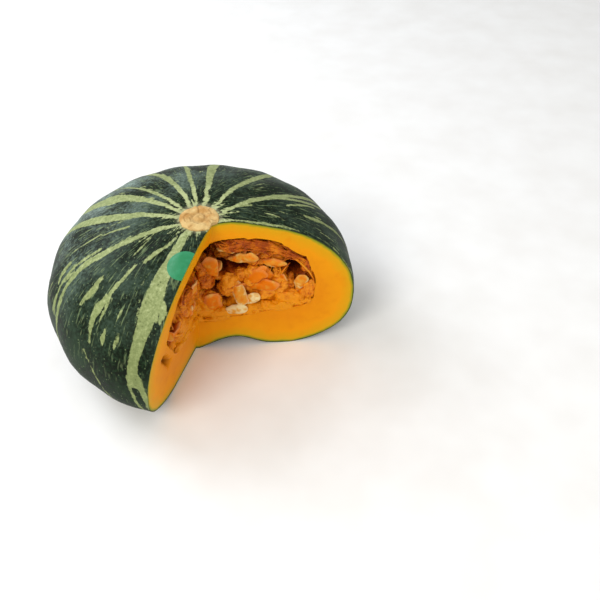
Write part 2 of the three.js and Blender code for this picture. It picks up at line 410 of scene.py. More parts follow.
@dataclass(frozen=True)
class HollowForm:
    """Seed hollow: a flat-floored dome, sunk under the stem and over the blossom end."""

    radius: float = 75
    height: float = 50
    rise: float = 42
    rise_power: float = 2.4
    drop: float = 20.5
    drop_power: float = 5
    roof_dip: Dimple = Dimple(9, 20)
    floor_dip: Dimple = Dimple(11, 25)
    narrow: Dimple = Dimple(0.17, 38)
    narrow_azimuth: float = -98
    narrow_heights: Span = (38, 62)

    def reach(self, azimuth: float, height: float) -> float:
        """Share of its full radius that the hollow reaches at an azimuth and a height."""
        low = 1 - smoothstep(height, *self.narrow_heights)
        return 1 - low * self.narrow.at(wrapped(azimuth - self.narrow_azimuth))

    def roof(self, radius: float) -> float:
        """Height of the roof."""
        arc = super_arc(radius / self.radius, self.rise_power)
        return self.height + self.rise * arc - self.roof_dip.at(radius)

    def floor(self, radius: float) -> float:
        """Height of the floor."""
        arc = super_arc(radius / self.radius, self.drop_power)
        return self.height - self.drop * arc - self.floor_dip.at(radius)


@dataclass(frozen=True)
class KnifeFace:
    """Plane of one knife cut. Offset is its distance from the fruit's middle along its normal."""

    azimuth: float
    tilt: float
    offset: float
    opens: int
    middle: float = 48.15

    @cached_property
    def normal(self) -> Vector:
        """Direction across the face."""
        level = turned(self.azimuth + 90) * math.cos(math.radians(self.tilt))
        return level + UP * math.sin(math.radians(self.tilt))

    @cached_property
    def place(self) -> Vector:
        """A point on the face."""
        return UP * self.middle + self.normal * self.offset

    def open_depth(self, point: Vector) -> float:
        """Distance of a point past the face, positive on the side of the missing wedge."""
        return self.opens * (point - self.place).dot(self.normal)


@dataclass(frozen=True)
class Notch:
    """The missing wedge between two knife faces."""

    right: KnifeFace = KnifeFace(azimuth=13.5, tilt=-4, offset=-18.2, opens=-1)
    left: KnifeFace = KnifeFace(azimuth=-98.8, tilt=-8.8, offset=6.9, opens=1)
    overlap: float = 5
    flat: float = 1e-3
    cut_slack: float = 1e-4

    @property
    def middle_azimuth(self) -> float:
        """Azimuth of the middle of the wedge."""
        return (self.right.azimuth + self.left.azimuth) / 2

    def depth(self, point: Vector) -> float:
        """Distance of a point inside the wedge from its nearer face, negative outside."""
        return min(self.right.open_depth(point), self.left.open_depth(point))

    def pushed_out(self, point: Vector, clearance: float) -> Vector:
        """Moves a point that stands in the wedge back behind the nearer knife face.

        Args:
            point: The point.
            clearance: Distance to keep behind the face.

        Returns:
            The moved point.
        """
        inside = self.depth(point) + clearance
        if inside <= 0:
            return point
        nearer = min((self.right, self.left), key=lambda face: face.open_depth(point))
        return point - nearer.normal * (nearer.opens * inside)

    def cut(self, shape: BMesh) -> None:
        """Cuts the wedge out of a shape and leaves the cut open.

        Args:
            shape: The shape.
        """
        for face, other in ((self.right, self.left), (self.left, self.right)):
            near = [f for f in shape.faces if any(other.open_depth(v.co) > -self.overlap for v in f.verts)]
            # Keys keep their order, which a set doesn't, so every run cuts alike.
            edges = dict.fromkeys(edge for f in near for edge in f.edges)
            verts = dict.fromkeys(vert for f in near for vert in f.verts)
            bmesh.ops.bisect_plane(
                shape,
                geom=[*verts, *edges, *near],
                dist=self.cut_slack,
                plane_co=face.place,
                plane_no=face.normal,
            )
        gone = [f for f in shape.faces if self.depth(f.calc_center_median()) > 0]
        bmesh.ops.delete(shape, geom=gone, context="FACES")

    def rims(self, edges: Iterable[BMEdge]) -> list[list[BMVert]]:
        """Finds the open rims that a cut has left.

        Args:
            edges: Edges of a cut shape.

        Returns:
            The rim on the right knife face and the one on the left, each from top to bottom.
        """
        rim = [edge for edge in edges if edge.is_boundary]
        chains = []
        for face in (self.right, self.left):
            on_face = [e for e in rim if all(abs(face.open_depth(v.co)) < self.flat for v in e.verts)]
            chains.append(chain_of(on_face))
        return chains


FRUIT = FruitForm()
HOLLOW = HollowForm()
NOTCH = Notch()


@dataclass(frozen=True)
class Pattern:
    """What a finish draws: a ground, coats over it with the share of each, and the height of its relief."""

    ground: NodeSocket
    coats: tuple[tuple[NodeSocket, str | NodeSocket], ...] = ()
    height: NodeSocket | None = None
    roughness: NodeSocket | None = None


@dataclass(frozen=True)
class Finish:
    """A surface made of shader nodes round one Principled shader."""

    name: str
    roughness: float = 0.5
    ior: float = 1.5
    gloss: float = 0.5
    relief_depth: float = 0
    relief_strength: float = 0
    subsurface: float = 0
    light_reach: Triple = (1, 1, 1)
    light_scale: float = 0.6

    def make(self) -> Material:
        """Makes the material.

        Returns:
            The material, with its pattern linked to its shader.
        """
        material = bpy.data.materials.new(self.name)
        material.use_nodes = True
        add = partial(node, material.node_tree)
        pattern = self.paint(add, add("TexCoord", out="Object"))
        colour = pattern.ground
        for share, coat in pattern.coats:
            over = to_linear(coat) if isinstance(coat, str) else coat
            colour = add("Mix", {"Factor": share, MIX_A: colour, MIX_B: over}, MIX_COLOUR, data_type="RGBA")
        shader = material.node_tree.nodes["Principled BSDF"]
        fill(shader, {
            "Base Color": colour, "IOR": self.ior, "Specular IOR Level": self.gloss,
            "Roughness": self.roughness if pattern.roughness is None else pattern.roughness,
            "Subsurface Weight": self.subsurface, "Subsurface Radius": in_metres(self.light_reach),
            "Subsurface Scale": self.light_scale})
        if pattern.height is not None:
            fill(shader, {"Normal": add("Bump", {
                "Height": pattern.height, "Strength": self.relief_strength,
                "Distance": self.relief_depth * METRES})})
        return material

    def paint(self, add: Adder, place: NodeSocket) -> Pattern:
        """Draws the pattern of the finish.

        Args:
            add: Adds a node to the material.
            place: Place on the piece, in metres.

        Returns:
            The pattern.
        """
        raise NotImplementedError(self.name)


@dataclass(frozen=True)
class WaxyRind(Finish):
    """Waxy pumpkin rind, grown: dark mottled green with ragged pale stripes, dry flecks and a grey bloom,
    partly painted highlight.
    """

    name: str = "waxy_pumpkin_rind"
    deep_green: str = "#071105"
    green: str = "#0b1807"
    grey_green: str = "#1a2f18"
    # Grey bloom colour, partly real wax and partly painted highlight.
    bloom_and_sheen: str = "#9cb1a7"
    speckle: str = "#7d8f62"
    stripe_dark: str = "#788452"
    stripe: str = "#909b66"
    stripe_pale: str = "#b3bd88"
    cork: str = "#b3925c"
    stem_ring: str = "#a8a584"
    satin: Span = (0.42, 0.62)
    ior: float = 1.45
    gloss: float = 0.1
    relief_depth: float = 0.35
    relief_strength: float = 0.35
    patch_size: float = 24
    mottle_size: float = 2
    mottle_span: Span = (0.3, 0.7)
    ragged_size: float = 4
    speckle_size: float = 1.5
    speck_edge: Span = (0.16, 0.34)
    speck_choice: Span = (0.78, 1)
    speck_share: float = 0.8
    streak_width: float = 1.3
    streak_length: float = 13
    thread_edge: Span = (0.57, 0.66)
    thread_share: float = 0.75
    wear_span: Span = (0.25, 0.75)
    wear: Span = (-0.65, 0.65)
    stripe_edge: Span = (-0.25, 0.25)
    stripe_holes: Span = (0.28, 0.38)
    hole_share: float = 0.5
    stripe_bright: Span = (14, 34)
    bright_lift: float = 0.22
    stripe_dull: Span = (66, 112)
    dull_drop: float = 0.17
    # Painted highlight: the bloom is laid on more up the shoulder and on the side that faces the fill light.
    bloom_and_sheen_heights: Span = (40, 85)
    bloom_and_sheen_shares: Span = (0.08, 0.95)
    bloom_and_sheen_patches: Span = (0.2, 0.42)
    lit_side_turn: float = 143
    lit_side_span: Span = (5, 82)
    unlit_side_share: float = 0.1
    ring_reach: Span = (11.5, 15)
    blossom_arcs: Span = (243, 250)

    def paint(self, add: Adder, place: NodeSocket) -> Pattern:
        """Draws the pattern. A satin wax gives broad soft highlights over a matte mottled ground.

        Args:
            add: Adds a node to the material.
            place: Place on the piece, in metres.

        Returns:
            The pattern.
        """
        around, arc, stripe = (
            add("Attribute", out="Fac", attribute_name=layer.value)
            for layer in (Layer.AROUND, Layer.ARC, Layer.STRIPE))

        # Streaks run from the stem to the blossom end, so they are drawn on the azimuth and the arc.
        across = add("Math", {0: around, 1: 1 / self.streak_width}, operation="MULTIPLY")
        down = add("Math", {0: arc, 1: 1 / self.streak_length}, operation="MULTIPLY")
        grown = add("CombineXYZ", {"X": across, "Y": down})
        streak = add("TexNoise", {"Vector": grown, "Scale": 1, "Detail": 3, "Roughness": 0.6})
        patch = add("TexNoise", {"Vector": place, "Scale": per_metre(self.patch_size), "Detail": 3})
        mottle, ragged = (
            add("TexNoise", {"Vector": place, "Scale": per_metre(size), "Detail": 5, "Roughness": roughness})
            for size, roughness in ((self.mottle_size, 0.65), (self.ragged_size, 0.7)))
        ground = add("ValToRGB", {"Fac": patch}, stops=(
            (0.32, self.deep_green), (0.5, self.green), (0.72, self.grey_green)))
        flecked = add("ValToRGB", {"Fac": mottle}, stops=((0.47, "#000000"), (0.62, "#ffffff")))

        # The grey bloom lies in mottled patches, more on the shoulder than below and most on one side. It is
        # partly real wax and partly painted highlight where the fill light falls from the upper left.
        height = add("SeparateXYZ", {"Vector": place}, "Z")
        shoulder = add("MapRange", {
            "Value": height, FROM: in_metres(self.bloom_and_sheen_heights), TO: self.bloom_and_sheen_shares})
        patches = add("Math", {0: mottle, 1: patch}, operation="MULTIPLY")
        bloom_and_sheen_patch = add("MapRange", {"Value": patches, FROM: self.bloom_and_sheen_patches})
        side = add("VectorMath", {0: place, 1: turned(self.lit_side_turn)}, "Value", operation="DOT_PRODUCT")
        # The side that faces the fill light gets more bloom, as painted highlight.
        lit_side = add("MapRange", {
            "Value": side, FROM: in_metres(self.lit_side_span), TO: (self.unlit_side_share, 1)})
        sided = add("Math", {0: lit_side, 1: shoulder}, operation="MULTIPLY")
        bloom_and_sheen_part = add("Math", {0: bloom_and_sheen_patch, 1: sided}, operation="MULTIPLY")

        # Corky specks are small round cells, and only some cells have one.
        cells = add("TexVoronoi", {"Vector": place, "Scale": per_metre(self.speckle_size)}, "Distance")
        kind = add("SeparateColor", {"Color": cells.node.outputs["Color"]})
        speck = add("MapRange", {"Value": cells, FROM: self.speck_edge, TO: (1, 0)})
        chosen = add("MapRange", {"Value": kind, FROM: self.speck_choice, TO: (0, self.speck_share)})
        lone_speck = add("Math", {0: speck, 1: chosen}, operation="MULTIPLY")
        thread = add("MapRange", {"Value": streak, FROM: self.thread_edge, TO: (0, self.thread_share)})
        high_thread = add("Math", {0: thread, 1: shoulder}, operation="MULTIPLY")
        speck_part = add("Math", {0: lone_speck, 1: high_thread}, operation="MAXIMUM")

        # A stripe's edge is its drawn edge, worn by both noises.
        edge = stripe
        for texture in (ragged, streak):
            worn = add("MapRange", {"Value": texture, FROM: self.wear_span, TO: self.wear})
            edge = add("Math", {0: edge, 1: worn}, operation="ADD")
        drawn = add("MapRange", {"Value": edge, FROM: self.stripe_edge})
        whole = add("MapRange", {"Value": mottle, FROM: self.stripe_holes, TO: (self.hole_share, 1)})
        pale_part = add("Math", {0: drawn, 1: whole}, operation="MULTIPLY")

        # Stripes are palest at the stem and dull towards the equator.
        bright = add("MapRange", {"Value": arc, FROM: self.stripe_bright, TO: (self.bright_lift, 0)})
        dull = add("MapRange", {"Value": arc, FROM: self.stripe_dull, TO: (0, self.dull_drop)})
        lit = add("Math", {0: mottle, 1: bright}, operation="ADD")
        tone = add("Math", {0: lit, 1: dull}, operation="SUBTRACT")
        pale = add("ValToRGB", {"Fac": tone}, stops=(
            (0.3, self.stripe_dark), (0.5, self.stripe), (0.72, self.stripe_pale)))

        # A dry ring borders the stem button, and the scar at the blossom end is tan cork.
        stem = Vector((*FRUIT.stem_place, FRUIT.crown_point(*FRUIT.stem_place).z)) * METRES
        from_stem = add("VectorMath", {0: place, 1: stem}, "Value", operation="DISTANCE")
        ring = add("MapRange", {"Value": from_stem, FROM: in_metres(self.ring_reach), TO: (1, 0)})
        ring_part = add("Math", {0: ring, 1: ragged}, operation="MULTIPLY")
        scar_part = add("MapRange", {"Value": arc, FROM: self.blossom_arcs})

        coats = (
            (flecked, self.grey_green), (bloom_and_sheen_part, self.bloom_and_sheen), (speck_part, self.speckle),
            (pale_part, pale), (ring_part, self.stem_ring), (scar_part, self.cork))
        relief = add("Math", {0: mottle, 1: pale_part}, operation="ADD")
        sheen = add("MapRange", {"Value": mottle, FROM: self.mottle_span, TO: self.satin})
        return Pattern(ground, coats, relief, sheen)


@dataclass(frozen=True)
class CutFlesh(Finish):
    """Raw pumpkin flesh, sliced: moist, yellow under a thin green skin line and deeper orange inwards."""

    name: str = "sliced_pumpkin_flesh"
    skin_line: str = "#34471a"
    under_skin: str = "#8f9420"
    yellow: str = "#d79f0a"
    orange: str = "#e89602"
    deep: str = "#e18901"
    stain: str = "#d27902"
    # Dark of the painted shade in the knife face's pit.
    pit_shade: str = "#80460a"
    ior: float = 1.42
    gloss: float = 0.14
    relief_depth: float = 0.2
    relief_strength: float = 0.2
    subsurface: float = 0.05
    light_reach: Triple = (6, 3, 1)
    deepest: float = 30
    fibre_size: float = 7
    fibre_span: Span = (0.3, 0.7)
    waver: Span = (0.8, 1.2)
    stain_span: Span = (0.55, 0.8)
    stain_share: float = 0.35
    grain_size: float = 0.9

    def paint(self, add: Adder, place: NodeSocket) -> Pattern:
        """Draws the pattern. Moist cells give a soft sheen and let a little light into the orange.

        Args:
            add: Adds a node to the material.
            place: Place on the piece, in metres.

        Returns:
            The pattern.
        """
        depth, pit = (
            add("Attribute", out="Fac", attribute_name=layer.value) for layer in (Layer.DEPTH, Layer.CREVICE))
        fibre = add("TexNoise", {"Vector": place, "Scale": per_metre(self.fibre_size), "Detail": 4})
        grain = add("TexNoise", {"Vector": place, "Scale": per_metre(self.grain_size), "Detail": 2})
        waver = add("MapRange", {"Value": fibre, FROM: self.fibre_span, TO: self.waver})
        wavering = add("Math", {0: depth, 1: waver}, operation="MULTIPLY")
        share = add("MapRange", {"Value": wavering, FROM: (0, self.deepest)})
        band = add("ValToRGB", {"Fac": share}, stops=(
            (0.012, self.skin_line), (0.035, self.under_skin), (0.085, self.yellow), (0.32, self.orange),
            (0.75, self.deep)))
        stained = add("MapRange", {"Value": fibre, FROM: self.stain_span, TO: (0, self.stain_share)})
        # The pit in the left knife face is darkened by its depth, as painted shade.
        return Pattern(band, ((stained, self.stain), (pit, self.pit_shade)), grain)


@dataclass(frozen=True)
class WetPulp(Finish):
    """Stringy pumpkin pulp, torn: wet, from pale orange on its ridges to red brown in its folds, where the
    dark is partly painted shade.
    """

    name: str = "torn_pumpkin_pulp"
    # Fold is painted shade; brown is partly the pulp's own red and partly painted shade.
    fold: str = "#5e1d02"
    shaded_brown: str = "#a34605"
    orange: str = "#d4730a"
    pale: str = "#e8921a"
    flesh: str = "#e58f08"
    roughness: float = 0.38
    ior: float = 1.4
    gloss: float = 0.22
    relief_depth: float = 0.6
    relief_strength: float = 0.5
    subsurface: float = 0.08
    light_reach: Triple = (4, 1.6, 0.5)
    flesh_heights: Span = (30, 46)
    flesh_span: Span = (0.1, 0.4)
    lump_size: float = 9
    fibre_size: float = 2.2
    twist: float = 1.5

    def paint(self, add: Adder, place: NodeSocket) -> Pattern:
        """Draws the pattern. A film of water gives small sharp glints on soft orange fibres.

        Args:
            add: Adds a node to the material.
            place: Place on the piece, in metres.

        Returns:
            The pattern.
        """
        crevice = add("Attribute", out="Fac", attribute_name=Layer.CREVICE.value)
        lump = add("TexNoise", {"Vector": place, "Scale": per_metre(self.lump_size), "Detail": 3})
        fibre = add("TexNoise", {
            "Vector": place, "Scale": per_metre(self.fibre_size), "Detail": 4, "Distortion": self.twist})
        both = add("Math", {0: lump, 1: fibre}, operation="ADD")
        mean = add("Math", {0: both, 1: 1 / 2}, operation="MULTIPLY")
        # The crevice share is painted shade: it turns the pulp red brown and dark in folds, furrows and
        # pockets, and paler on ridges.
        raised = add("Math", {0: mean, 1: crevice}, operation="SUBTRACT")
        torn = add("ValToRGB", {"Fac": raised}, stops=(
            (0.08, self.fold), (0.34, self.shaded_brown), (0.53, self.orange), (0.7, self.pale)))

        # Low down the pulp goes over into firm flesh.
        height = add("SeparateXYZ", {"Vector": place}, "Z")
        firm = add("MapRange", {"Value": height, FROM: in_metres(self.flesh_heights), TO: (1, 0)})
        firm_part = add("Math", {0: firm, 1: raised}, operation="MULTIPLY")
        firm_share = add("MapRange", {"Value": firm_part, FROM: self.flesh_span})
        return Pattern(torn, ((firm_share, self.flesh),), fibre)


@dataclass(frozen=True)
class HollowLining(Finish):
    """Wall of the seed hollow, torn bare: moist orange flesh below and red brown strings under the roof,
    darkened there partly as painted shade.
    """

    name: str = "torn_hollow_lining"
    floor: str = "#e28d14"
    floor_dark: str = "#c8740f"
    roof: str = "#a5480e"
    roof_shade_dark: str = "#6e2508"
    roughness: float = 0.36
    ior: float = 1.42
    relief_depth: float = 0.7
    relief_strength: float = 0.5
    roof_heights: Span = (46, 74)
    fibre_size: float = 3
    twist: float = 1.2

    def paint(self, add: Adder, place: NodeSocket) -> Pattern:
        """Draws the pattern. Torn fibres break the sheen into short glints.

        Args:
            add: Adds a node to the material.
            place: Place on the piece, in metres.

        Returns:
            The pattern.
        """
        height = add("SeparateXYZ", {"Vector": place}, "Z")
        fibre = add("TexNoise", {
            "Vector": place, "Scale": per_metre(self.fibre_size), "Detail": 5, "Distortion": self.twist})
        low = add("ValToRGB", {"Fac": fibre}, stops=((0.35, self.floor_dark), (0.6, self.floor)))
        high = add("ValToRGB", {"Fac": fibre}, stops=((0.38, self.roof_shade_dark), (0.62, self.roof)))
        # Up towards the roof the lining goes red brown and dark, partly the strings' own colour and partly
        # painted shade.
        share = add("MapRange", {"Value": height, FROM: in_metres(self.roof_heights)})
        return Pattern(low, ((share, high),), fibre)


@dataclass(frozen=True)
class SeedCoat(Finish):
    """Pumpkin seed coat, wet: smooth cream with a paler rim, stained and partly covered by orange pulp."""

    name: str = "wet_pumpkin_seed_coat"
    cream: str = "#ecd69c"
    tan: str = "#dc9a32"
    orange: str = "#de7402"
    rim: str = "#ecd49a"
    roughness: float = 0.42
    ior: float = 1.45
    gloss: float = 0.1
    relief_depth: float = 0.4
    relief_strength: float = 0.3
    stain_size: float = 4.5
    stain_span: Span = (0.3, 0.7)
    stain_shift: Span = (-0.42, 0.42)

    def paint(self, add: Adder, place: NodeSocket) -> Pattern:
        """Draws the pattern. A slick coat gives each seed one soft highlight.

        Args:
            add: Adds a node to the material.
            place: Place on the piece, in metres.

        Returns:
            The pattern.
        """
        tone, rim = (
            add("Attribute", out="Fac", attribute_name=layer.value) for layer in (Layer.TONE, Layer.RIM))
        stain = add("TexNoise", {"Vector": place, "Scale": per_metre(self.stain_size), "Detail": 5})
        shift = add("MapRange", {"Value": stain, FROM: self.stain_span, TO: self.stain_shift})
        stained = add("Math", {0: tone, 1: shift}, operation="ADD")
        coat = add("ValToRGB", {"Fac": stained}, stops=(
            (0.15, self.cream), (0.5, self.tan), (0.85, self.orange)))
        return Pattern(coat, ((rim, self.rim),), stain)


@dataclass(frozen=True)
class StemCork(Finish):
    """Dry cork where the stem came off: matte pale tan with darker cracks and a ring round its nub."""

    name: str = "dry_stem_cork"
    pale: str = "#d9b97a"
    tan: str = "#bd8d4a"
    seam: str = "#96692f"
    roughness: float = 0.9
    relief_depth: float = 0.3
    relief_strength: float = 0.5
    crack_share: float = 0.55
    patch_size: float = 7
    grain_size: float = 0.8

    def paint(self, add: Adder, place: NodeSocket) -> Pattern:
        """Draws the pattern. Dry cork scatters light, so only its cracks and stains show.

        Args:
            add: Adds a node to the material.
            place: Place on the piece, in metres.

        Returns:
            The pattern.
        """
        crack = add("Attribute", out="Fac", attribute_name=Layer.CREVICE.value)
        grain, patch = (
            add("TexNoise", {"Vector": place, "Scale": per_metre(size), "Detail": 4})
            for size in (self.grain_size, self.patch_size))
        cork = add("ValToRGB", {"Fac": patch}, stops=((0.35, self.tan), (0.58, self.pale)))
        crack_part = add("Math", {0: crack, 1: self.crack_share}, operation="MULTIPLY")
        return Pattern(cork, ((crack_part, self.seam),), grain)


@dataclass(frozen=True)
class PlainSheet(Finish):
    """A sheet in two near tones of one colour."""

    dark: str = "#000000"
    pale: str = "#ffffff"
    tone_span: Span = (0, 1)
    cloud_size: float = 10
    cloud_detail: float = 2

    def paint(self, add: Adder, place: NodeSocket) -> Pattern:
        """Draws the pattern.

        Args:
            add: Adds a node to the material.
            place: Place on the piece, in metres.

        Returns:
            The pattern.
        """
        cloud = add("TexNoise", {
            "Vector": place, "Scale": per_metre(self.cloud_size), "Detail": self.cloud_detail})
        sheet = add("ValToRGB", {"Fac": cloud}, stops=tuple(zip(self.tone_span, (self.dark, self.pale))))
        return Pattern(sheet, height=cloud if self.relief_depth else None)


# Thin printed film, one plain green and a little uneven where it lies over the rind. Satin film catches a
# streak of light along its creases.
LABEL_FILM = PlainSheet(
    "green_label_film", roughness=0.32, relief_depth=0.5, relief_strength=0.35, dark="#1f8250",
    pale="#318f62", tone_span=(0.4, 0.75), cloud_size=4, cloud_detail=3)

# Seamless studio paper, nearly white. Matte paper keeps the shadow soft and free of glare.
STUDIO_PAPER = PlainSheet(
    "white_studio_paper", roughness=0.95, dark="#f4f3f0", pale="#fafaf8", tone_span=(0.3, 0.7), cloud_size=40)


class WallPart(IntEnum):
    """Material numbers of the fruit wall."""

    RIND = 0
    FLESH = 1
    LINING = 2


@dataclass(frozen=True)
class Stripe:
    """A pale stripe down the rind, as (arc from the stem, azimuth, half width) along its middle."""

    path: tuple[Triple, ...]

    def inside(self, arc: np.ndarray, azimuth: np.ndarray, radius: np.ndarray) -> np.ndarray:
        """Measures how far points of the skin lie inside the stripe.

        Args:
            arc: Distance of each point from the stem along the skin.
            azimuth: Azimuth of each point.
            radius: Distance of each point from the axis.

        Returns:
            Distance inside the nearer edge, negative outside the stripe.
        """
        arcs, azimuths, halves = (np.array(column, float) for column in zip(*self.path))
        middle = np.interp(arc, arcs, np.degrees(np.unwrap(np.radians(azimuths))))
        away = np.radians(wrapped(azimuth - middle)) * radius
        past_end = np.maximum(0, np.maximum(arcs[0] - arc, arc - arcs[-1]))
        return np.interp(arc, arcs, halves) - np.hypot(away, past_end)


# Stripes of the side that shows best, followed from the stem button to where they run out. Each stripe that
# goes over the far side keeps its course to the blossom end.
STRIPES = tuple(Stripe(path) for path in (
    ((16, -82, 1.9), (23, -88.5, 2.4), (43, -95, 3), (60, -96.5, 4.7), (76, -97, 6.2), (86, -98, 4.6),
     (107, -100, 3.2), (122, -100, 3.2)),
    ((118, -98, 2), (132, -96.5, 2), (150, -95.5, 2.4), (176, -97, 1.2)),
    ((118, -102, 1.1), (138, -100.5, 0.9), (160, -99, 0.9)),
    ((14, -103, 1.3), (17, -110, 1.5), (25, -126, 1.8), (37, -134, 2.1), (50, -139, 2.2),
     (75, -144, 2.4), (92, -143.5, 1.4), (112, -141, 1.7), (128, -140, 1.2), (150, -141, 0.7)),
    ((62, -146, 0.8), (80, -148, 0.9), (96, -147, 1.1), (114, -144, 1)),
    ((84, -152, 1.6), (92, -151, 1.8), (97, -149, 0.9)),
    ((10, -122, 1.2), (13, -135, 1.4), (20, -152, 1.6), (32, -165, 2.4), (61, -173, 3.5),
     (79, -177, 3.2), (95, -179, 2.2), (130, -178, 2.4), (175, -176, 1)),
    ((8, 212, 1.2), (11, 197, 1.4), (18, 179, 1.7), (31, 169, 2.2), (48, 165.5, 2.9), (62, 166.5, 5.4),
     (78, 168, 4), (105, 166, 2.6), (140, 168, 2.2), (185, 170, 0.9)),
    ((6, 200, 0.8), (10, 180, 0.9), (18, 161, 1.3), (32, 154, 1.5), (48, 151, 0.9), (70, 152, 0.7),
     (96, 151, 1.2)),
    ((3, 152, 0.9), (8, 136, 1.2), (14, 129, 1.5), (29, 128, 1.8), (48, 128, 2.3), (72, 132, 2.6),
     (110, 133, 2.8), (150, 131, 2), (190, 132, 0.8)),
    ((3, 89, 0.8), (8, 99, 1), (14, 105, 1.2), (34, 109, 1.3), (50, 110, 1.6), (80, 111, 1.1),
     (108, 110, 0.7)),
    ((6, 40, 1), (10, 62, 1.2), (17, 80, 1.4), (37, 89.5, 2.3), (57, 93, 3.2), (85, 94, 3.6),
     (120, 93, 2.8), (180, 92, 1)),
    ((12, 10, 1.1), (15, 27, 1.3), (21, 45, 1.6), (33, 55, 1.9), (52, 59, 2.3), (83, 64, 2.5),
     (120, 66, 3), (170, 65, 1.2)),
    ((15, -18, 0.9), (19, 0, 1.2), (25, 15, 1.6), (36, 27, 2.2), (53, 32, 2.7), (66, 35, 2.1),
     (89, 38, 2), (125, 40, 2.6), (175, 39, 1.1)),
    ((53, 31, 1.3), (66, 30.5, 1.3), (78, 31, 1.7), (92, 32, 1.2)),
    ((20, 9, 0.7), (27, 15, 1), (35, 19, 0.7)),
    ((58, 22, 0.6), (66, 25, 1.1), (74, 27, 1), (82, 28, 0.8)),
    ((70, 17, 0.9), (78, 17, 1.6), (86, 17.5, 1.5), (100, 18, 0.8), (130, 16, 1.3), (165, 17, 0.7)),
    ((18, -30, 0.8), (23, -21.4, 0.9), (28, -14.4, 0.9), (33.5, -9.7, 0.9), (45, -3.9, 0.9),
     (57, -0.4, 0.7), (66, 1.3, 0.3)),
    ((92, 4, 0.9), (106, 3, 1), (118, 4, 0.6)),
    ((26, -98, 0.4), (36, -104, 1.1), (43, -109, 1.5), (50, -112, 1.1)),
    ((54, -116, 0.9), (64, -117.5, 1.3), (76, -119, 1.5), (86, -121, 2.9), (96, -121, 1.6),
     (108, -119, 0.6)),
    ((78, -117, 0.6), (88, -117.5, 0.8), (95, -118, 0.5)),
    ((70, -128, 0.9), (78, -128, 2), (84, -128.5, 1.9), (91, -129.5, 0.7)),
    ((40, -152, 0.5), (60, -157, 0.8), (80, -158, 0.6)),
    ((72, -91.5, 1.6), (77, -91, 2.4), (83, -92, 1.2)),
    ((112, -122, 0.4), (122, -118, 0.8), (140, -113, 0.8), (160, -109, 0.6)),
    ((95, -113.5, 0.6), (101, -113.5, 1.7), (105, -113, 0.6)),
    ((94, -107.5, 0.8), (98, -107.5, 1.3), (103, -108, 0.7)),
))


